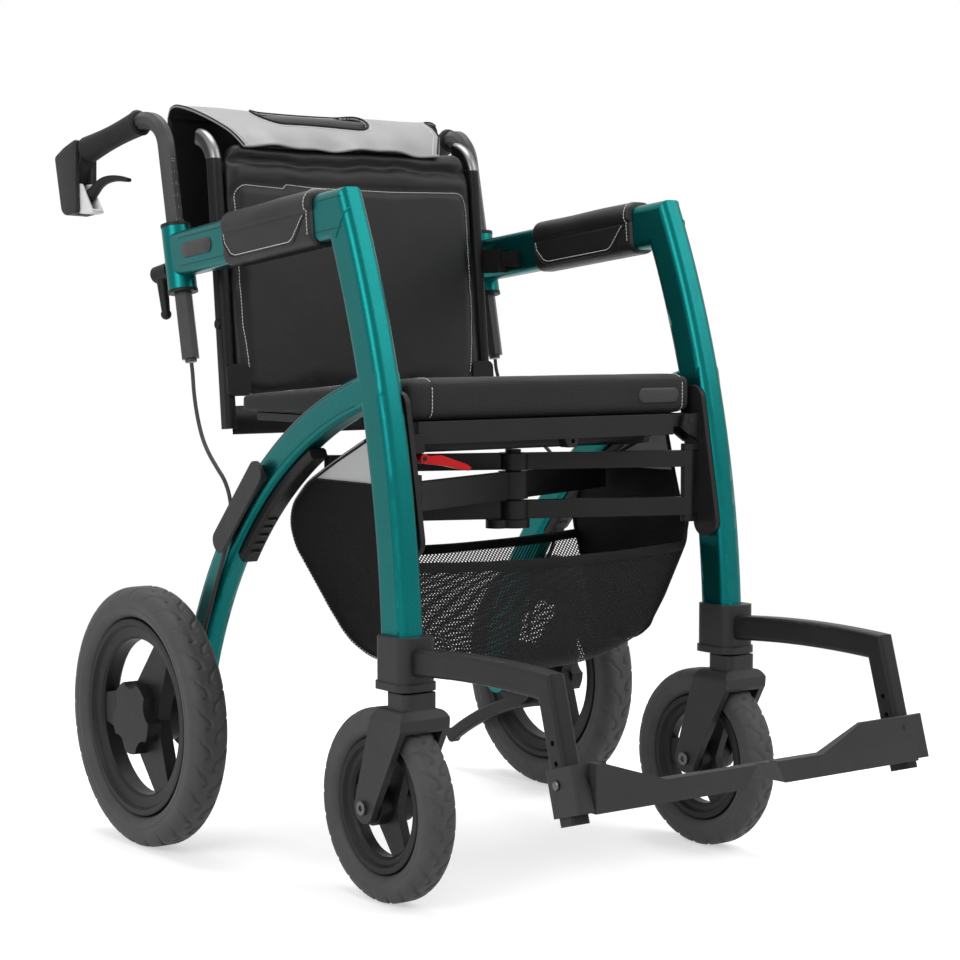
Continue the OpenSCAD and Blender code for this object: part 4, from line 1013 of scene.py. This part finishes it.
# Brake cables

CABLE_D = 5
CABLE_X = SIDE_X + TUBE_T / 2 + 4.5
CABLE = [(SIDE_X, 197.5, 565), (SIDE_X, 195, 552), (SIDE_X + 2, 189, 532), (SIDE_X + 5, 179, 512),
         (SIDE_X + 9, 165, 493), (SIDE_X + 14, 147, 476), (CABLE_X - 2, 127, 461), (CABLE_X, 107, 447),
         (CABLE_X, 89, 432), (CABLE_X, 78, 414), (CABLE_X, 75, 394), (CABLE_X, 80, 372),
         (CABLE_X, 90, 350), (CABLE_X, 101, 328), (CABLE_X, 112, 305), (CABLE_X, 124, 280),
         (CABLE_X, 136, 255), (CABLE_X, 147, 230), (CABLE_X + 2, 154, 212), (CABLE_X + 6, 157, 204)]


def ringed_tube(line, radius, sides, share):
    """A tube whose rings are larger or smaller by a share for each point of its line."""
    points, faces = tube(line, radius, sides)
    rings = points.reshape(-1, sides, 3)
    rings = line[:, None] + (rings - line[:, None]) * share[:, None, None]
    return rings.reshape(-1, 3), faces


def brake_cable(name, side):
    """Ribbed cable between the frame and the sliding handle."""
    line = smooth_line([(side * x, y, z) for x, y, z in CABLE], 1.1)
    ribs = 1 - 0.09 * (np.arange(len(line)) % 2)
    cable = make_piece(f"{name}_cable_sheath", *ringed_tube(line, CABLE_D / 2, 10, ribs), None, "cable")
    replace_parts(cable, f"{name}_brake_cable")
    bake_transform(cable)


# Brakes: sizes are in the handle's own frame, to the rear and up from the end of the grip

GRIP_END = np.array([157.7, 175.0])
HOUSING_HALF = 17
HOUSING_SLOT = 9
HOUSING = [(1, 14), (28, 10), (50, 3), (48, -68), (41, -75), (17, -77.5), (12.5, -45), (3, 4)]
HOUSING_CORE = HOUSING[:5] + [(28, -76), (25, -42), (12, -24), (4, -12)]
LEVER_HALF = 5.2
LEVER = [(10, -58, 17), (-3, -54, 15), (-16, -48.5, 12.5), (-30, -46.5, 10.5),
         (-45, -48, 8.5), (-59, -51.5, 7), (-70, -55.5, 6), (-77, -58, 4.6)]
GUIDE = [(22, -38), (9, -41), (-4, -72), (-8, -82), (6, -81), (22, -76)]
GUIDE_FOOT = [(-8, -82), (-7, -77), (22, -71), (22, -76)]
GUIDE_FACES = (5.8, 8.8)


def eased(corners, reach, steps=5):
    """A closed outline with each corner eased by a curve that starts a reach away from it."""
    p = np.asarray(corners, float)
    t = np.linspace(0, 1, steps)[:, None]
    parts = []
    for before, corner, after in zip(np.roll(p, 1, 0), p, np.roll(p, -1, 0)):
        legs = np.array([before, after]) - corner
        a, b = [corner + leg * min(0.45, reach / np.linalg.norm(leg)) for leg in legs]
        parts.append((1 - t) ** 2 * a + 2 * t * (1 - t) * corner + t ** 2 * b)
    return np.vstack(parts)


def moulded(side, corners, low, high, reach, rim):
    """A moulded plate on the handle: an outline between two faces, with rounded rims."""
    loop = closed_loop(eased(corners, reach), 1.5)
    ahead = np.roll(loop, -1, 0)
    turning = np.sum(loop[:, 0] * ahead[:, 1] - loop[:, 1] * ahead[:, 0])
    inward = -outward_of(loop) * np.sign(turning)
    rows = []
    for face, step, turns in ((low, rim, (3, 2, 1, 0)), (high, -rim, (0, 1, 2, 3))):
        for k in turns:
            a = k * math.pi / 6
            ring = GRIP_END + loop + inward * rim * (1 - math.cos(a))
            rows += [sleeve_point(side, face + step * (1 - math.sin(a)), v, w) for v, w in ring]
    around = len(loop)
    ends = [tuple(range(around)), tuple(range(7 * around, 8 * around))]
    return np.array(rows), grid_faces(8, around, False, True) + ends


def lever_blade(side):
    """Points and faces of the flat curved lever, which narrows toward its tip."""
    line = smooth_line(LEVER, 1.5)
    ahead = np.gradient(line[:, :2], axis=0)
    ahead /= np.linalg.norm(ahead, axis=1)[:, None]
    rows = []
    for k, ((v, w, thick), (dv, dw)) in enumerate(zip(line, ahead)):
        half = LEVER_HALF * (1 - 0.3 * (k / len(line)) ** 3)
        for across, off in rounded_loop(half, thick / 2, 0.45 * min(thick, 2 * half), 4):
            back_at, up_at = GRIP_END + (v - dw * off, w + dv * off)
            rows.append(sleeve_point(side, across, back_at, up_at))
    around = len(rows) // len(line)
    ends = [tuple(range(around)), tuple(range(len(rows) - around, len(rows)))]
    return rows, grid_faces(len(line), around, False, True) + ends


def brake(name, side):
    """Housing with an open slot, flat curved lever blade and the white guide on both sides of it."""
    near, far = GUIDE_FACES
    shell = [moulded(side, HOUSING, -HOUSING_HALF, -HOUSING_SLOT, 5, 2.5),
             moulded(side, HOUSING, HOUSING_SLOT, HOUSING_HALF, 5, 2.5),
             moulded(side, HOUSING_CORE, -HOUSING_SLOT - 1, HOUSING_SLOT + 1, 5, 0.5)]
    walls = [moulded(side, GUIDE, -far, -near, 3, 0.8),
             moulded(side, GUIDE, near, far, 3, 0.8),
             moulded(side, GUIDE_FOOT, -far + 0.4, far - 0.4, 1, 0.6)]
    for shape, node, mesh, body, slot in (
            ("shell", "housing", merged(shell), f"{name}_handle", "grey_plastic"),
            ("blade", "lever", lever_blade(side), f"{name}_brake", "black_plastic"),
            ("fork", "guide", merged(walls), f"{name}_handle", "white_plastic")):
        piece = make_piece(f"{name}_brake_{shape}", *mesh, body, slot)
        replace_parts(piece, f"{name}_brake_{node}")


# Tyres: place of the wheel's middle, inner radius, width and pitch of the tread

TYRES = {"rear": ((301, 177, 152.5), 115.9, 48, 34), "front": ((SIDE_X, -211, 104), 73.4, 39, 27)}
TREAD = [(0, 0.97), (0.16, 0.62), (0.30, 0.56), (0.52, 0.20), (0.78, 0.10), (0.80, 0.30)]


def tyre(name, centre, inner, width, pitch):
    """Tyre with rounded shoulders, a ridge on each sidewall and hooked grooves in the tread."""
    radius = centre[2]
    steps = int(2 * math.pi * radius / 1.6)
    height = radius - inner
    half = width / 2
    loop = closed_loop(rounded_loop(half, height / 2, min(width, height) * 0.42), 1.7)
    around = len(loop)
    arc = 2 * math.pi * np.arange(steps) / steps
    along = (arc * radius)[:, None]
    s = loop[None, :, 0]
    r = (loop[:, 1] + height / 2)[None, :]
    real_pitch = 2 * math.pi * radius / max(8, int(round(2 * math.pi * radius / pitch)))
    depth = np.zeros((steps, around))
    for hand in (-1, 1):
        path = [(a * real_pitch, hand * b * half) for a, b in TREAD]
        place = (along + (real_pitch / 2 if hand > 0 else 0)) % real_pitch
        near = np.full((steps, around), 1e3)
        for (a0, b0), (a1, b1) in zip(path, path[1:]):
            da, db = a1 - a0, b1 - b0
            for shift in (-real_pitch, 0, real_pitch):
                t = np.clip(((place + shift - a0) * da + (s - b0) * db) / (da * da + db * db), 0, 1)
                near = np.minimum(near, np.hypot(place + shift - a0 - t * da, s - b0 - t * db))
        depth = np.maximum(depth, 1.7 * np.clip(1.9 - near, 0, 1))
    tread = np.clip((r - 0.62 * height) / (0.14 * height), 0, 1)
    ridge = 0.9 * np.exp(-((r - 0.42 * height) / 1.3) ** 2)
    ridge = ridge + 0.7 * np.exp(-((r - 0.14 * height) / 1.2) ** 2)
    reach = inner + r - depth * tread
    out = s - np.sign(s) * ridge * (np.abs(s) > half * 0.9)
    points = np.column_stack([
        (centre[0] + out + np.zeros((steps, 1))).ravel(),
        (centre[1] + reach * np.cos(arc)[:, None]).ravel(),
        (centre[2] + reach * np.sin(arc)[:, None]).ravel()])
    faces = grid_faces(steps, around, True, True)
    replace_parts(make_piece(f"{name}_tread", points, faces, f"{name}_wheel", "tyre"), f"{name}_tyre")


# Small fittings

PLATE_RISE = ((1, -0.4), (1, 1.0), (0.97, 1.5), (0.5, 1.7), (0.02, 1.75))
MITRE = [(-160, 741), (-150, 724), (-138, 704)]
ARM_LINES = (16.5, -16.5)
REAR_LINES = (REAR_R + 12.5, REAR_R - 12.5)


def frame_details(name, side):
    """Weld bead at the armrest's front corner, thin lines of painted shade along the tubes' grooves and
    edges, and the bare arm plate.
    """
    body = f"{name}_frame"
    node = nodes[f"{name}_side_frame"]

    def on_side(path, lift=0.0):
        run = [(side * (SIDE_X + 60), y, z) for y, z in even_line(path, 1.5)]
        return laid(node, run, (-side, 0, 0), lift)

    bead = even_line(on_side(MITRE), 0.65)
    swell = 1 + 0.22 * np.sin(np.arange(len(bead)) * 0.65 / 2.6 * 2 * math.pi)
    make_piece(f"{name}_mitre_weld", *ringed_tube(bead, 1.1, 8, swell), body, "teal_paint")
    # Painted shade: dark lines laid along the armrest's edges and the rear leg's grooves, where shade
    # falls
    runs = {}
    for up in ARM_LINES:
        along = np.linspace(-148, 196, 60)
        runs[f"arm_line_{int(up + 20)}"] = [arm_point(side, y, up, 60)[1:] for y in along]
    for reach in REAR_LINES:
        turn = np.radians(np.linspace(14, 74, 90))
        runs[f"rear_line_{int(reach)}"] = np.column_stack([REAR_CENTRE[0] + reach * np.cos(turn),
                                                           REAR_CENTRE[1] + reach * np.sin(turn)])
    for line_name, run in runs.items():
        line = tube(on_side(run, -0.15), 0.5, 6)
        make_piece(f"{name}_{line_name}", *line, body, "teal_paint", PAINTED_SHADE_LINE)

    def on_arm(u, v, out):
        return arm_point(side, 157 + u, v + 0.5, TUBE_T / 2 + out)

    bare_plate(f"{name}_arm_plate", closed_loop(rounded_loop(34, 9, 8.5), 2), PLATE_RISE, on_arm, body)


DIGITS = {
    1: [(0, 0), (0, 2)],
    2: [(-0.5, 2), (0.5, 2), (0.5, 1), (-0.5, 0), (0.5, 0)],
    3: [(-0.5, 2), (0.5, 2), (0, 1.1), (0.5, 0.6), (0.3, 0), (-0.5, 0)],
    4: [(0.3, 0), (0.3, 2), (-0.5, 0.7), (0.5, 0.7)],
    5: [(0.5, 2), (-0.4, 2), (-0.5, 1.1), (0.4, 1.1), (0.5, 0.3), (-0.5, 0)],
}
MARK_LOW = 45
MARK_PITCH = 14.5


def post_marks(name, side):
    """Height marks on the front face of the post: a digit between two short ticks."""
    strokes = []
    for k, line in DIGITS.items():
        w = MARK_LOW + MARK_PITCH * (5 - k)
        strokes.append([(1.5 * a, w + 1.6 * b) for a, b in line])
        strokes += [[(a, w), (a, w + 0.9)] for a in (-4.5, 4.5)]
    top = MARK_LOW + MARK_PITCH * 5
    strokes += [[(-3, top), (3, top)], [(-3, top + 2.6), (3, top + 2.6)]]
    parts = []
    for line in strokes:
        path = [sleeve_point(side, a, -POST_AF / 2 + 0.24, w) for a, w in even_line(line, 0.8)]
        parts.append(tube(path, 0.32, 6))
    make_piece(f"{name}_post_marks", *merged(parts), f"{name}_handle", "white_plastic", MARK)


seat()
back()
cover()
basket()
for side_name, hand in SIDES:
    for fitting in (arm_pad, brake_cable, brake, frame_details, post_marks):
        fitting(side_name, hand)
    for end, ((x, y, z), *sizes) in TYRES.items():
        tyre(f"{side_name}_{end}", (hand * x, y, z), *sizes)


# Studio: camera, light, floor and white ground

CAMERA_AT = (-1.58492, -2.13131, 0.61507)
CAMERA_YAW = math.radians(36.934)
CAMERA_PITCH = math.radians(-3.985)
LENS = 85.55
SOFT_LIGHT = 0.5
WHITE = (1, 1, 1, 1)
FLOOR_TONE = (0.72, 0.72, 0.72, 1)
FLOOR_REACH = 30
LAMPS = [("key", (1.7, -2.1, 2.7), (0, 0, 0.4), 2.6, 40),
         ("top", (0.2, 0.6, 3.2), (0, 0.1, 0.5), 2.2, 68),
         ("fill", (-3.0, -1.0, 1.9), (0, 0, 0.4), 2.0, 42)]


def set_up(name, data, place, ahead):
    """An object of the studio that looks along a direction."""
    made = bpy.data.objects.new(name, data)
    bpy.context.scene.collection.objects.link(made)
    made.location = place
    made.rotation_mode = "QUATERNION"
    made.rotation_quaternion = Vector(ahead).to_track_quat("-Z", "Y")
    return made


def camera():
    view = bpy.data.cameras.new("camera")
    view.sensor_width = 36
    view.lens = LENS
    level = math.cos(CAMERA_PITCH)
    ahead = (math.sin(CAMERA_YAW) * level, math.cos(CAMERA_YAW) * level, math.sin(CAMERA_PITCH))
    bpy.context.scene.camera = set_up("camera", view, CAMERA_AT, ahead)


def lamps():
    for name, place, aim, size, watts in LAMPS:
        light = bpy.data.lights.new(name, "AREA")
        light.shape = "DISK"
        light.size = size
        light.energy = watts
        set_up(name, light, place, Vector(aim) - Vector(place))


def white_ground():
    """Even white for the eye, and a softer light on the object."""
    world = bpy.data.worlds.new("studio")
    bpy.context.scene.world = world
    world.use_nodes = True
    sky = Graph(world.node_tree)
    ground = sky.tree.nodes["Background"]
    sky.join(ground.inputs["Color"], WHITE)
    sky.join(ground.inputs["Strength"], SOFT_LIGHT + (1 - SOFT_LIGHT) * sky.shown_white())


def floor_finish():
    """A pale floor that takes the shadow near the object and is plain white far from it."""
    f = Finish("floor", FLOOR_TONE, 0.9)
    diffuse = f.node("ShaderNodeBsdfDiffuse", inputs={"Color": FLOOR_TONE})
    seen = f.shown_white()
    glow = f.node("ShaderNodeEmission", inputs={"Color": WHITE, "Strength": 0.5 * seen})
    lit = f.node("ShaderNodeAddShader", inputs=[diffuse, glow])
    white = f.node("ShaderNodeEmission", inputs={"Color": WHITE, "Strength": 1.0})
    x, y, _ = f.axes(f.place())
    far = (x * x + y * y).above(1.7, 1.2)
    shown = f.node("ShaderNodeMixShader", inputs=[far * seen, lit, white])
    f.join(f.tree.nodes["Material Output"].inputs["Surface"], shown)
    return f.material


def floor():
    mesh = bpy.data.meshes.new("floor")
    corners = [(x * FLOOR_REACH, y * FLOOR_REACH, 0) for x, y in ((-1, -1), (1, -1), (1, 1), (-1, 1))]
    mesh.from_pydata(corners, [], [(0, 1, 2, 3)])
    mesh.materials.append(floor_finish())
    sheet = bpy.data.objects.new("floor", mesh)
    bpy.context.scene.collection.objects.link(sheet)


bpy.context.scene.view_settings.view_transform = "Standard"
camera()
lamps()
white_ground()
floor()
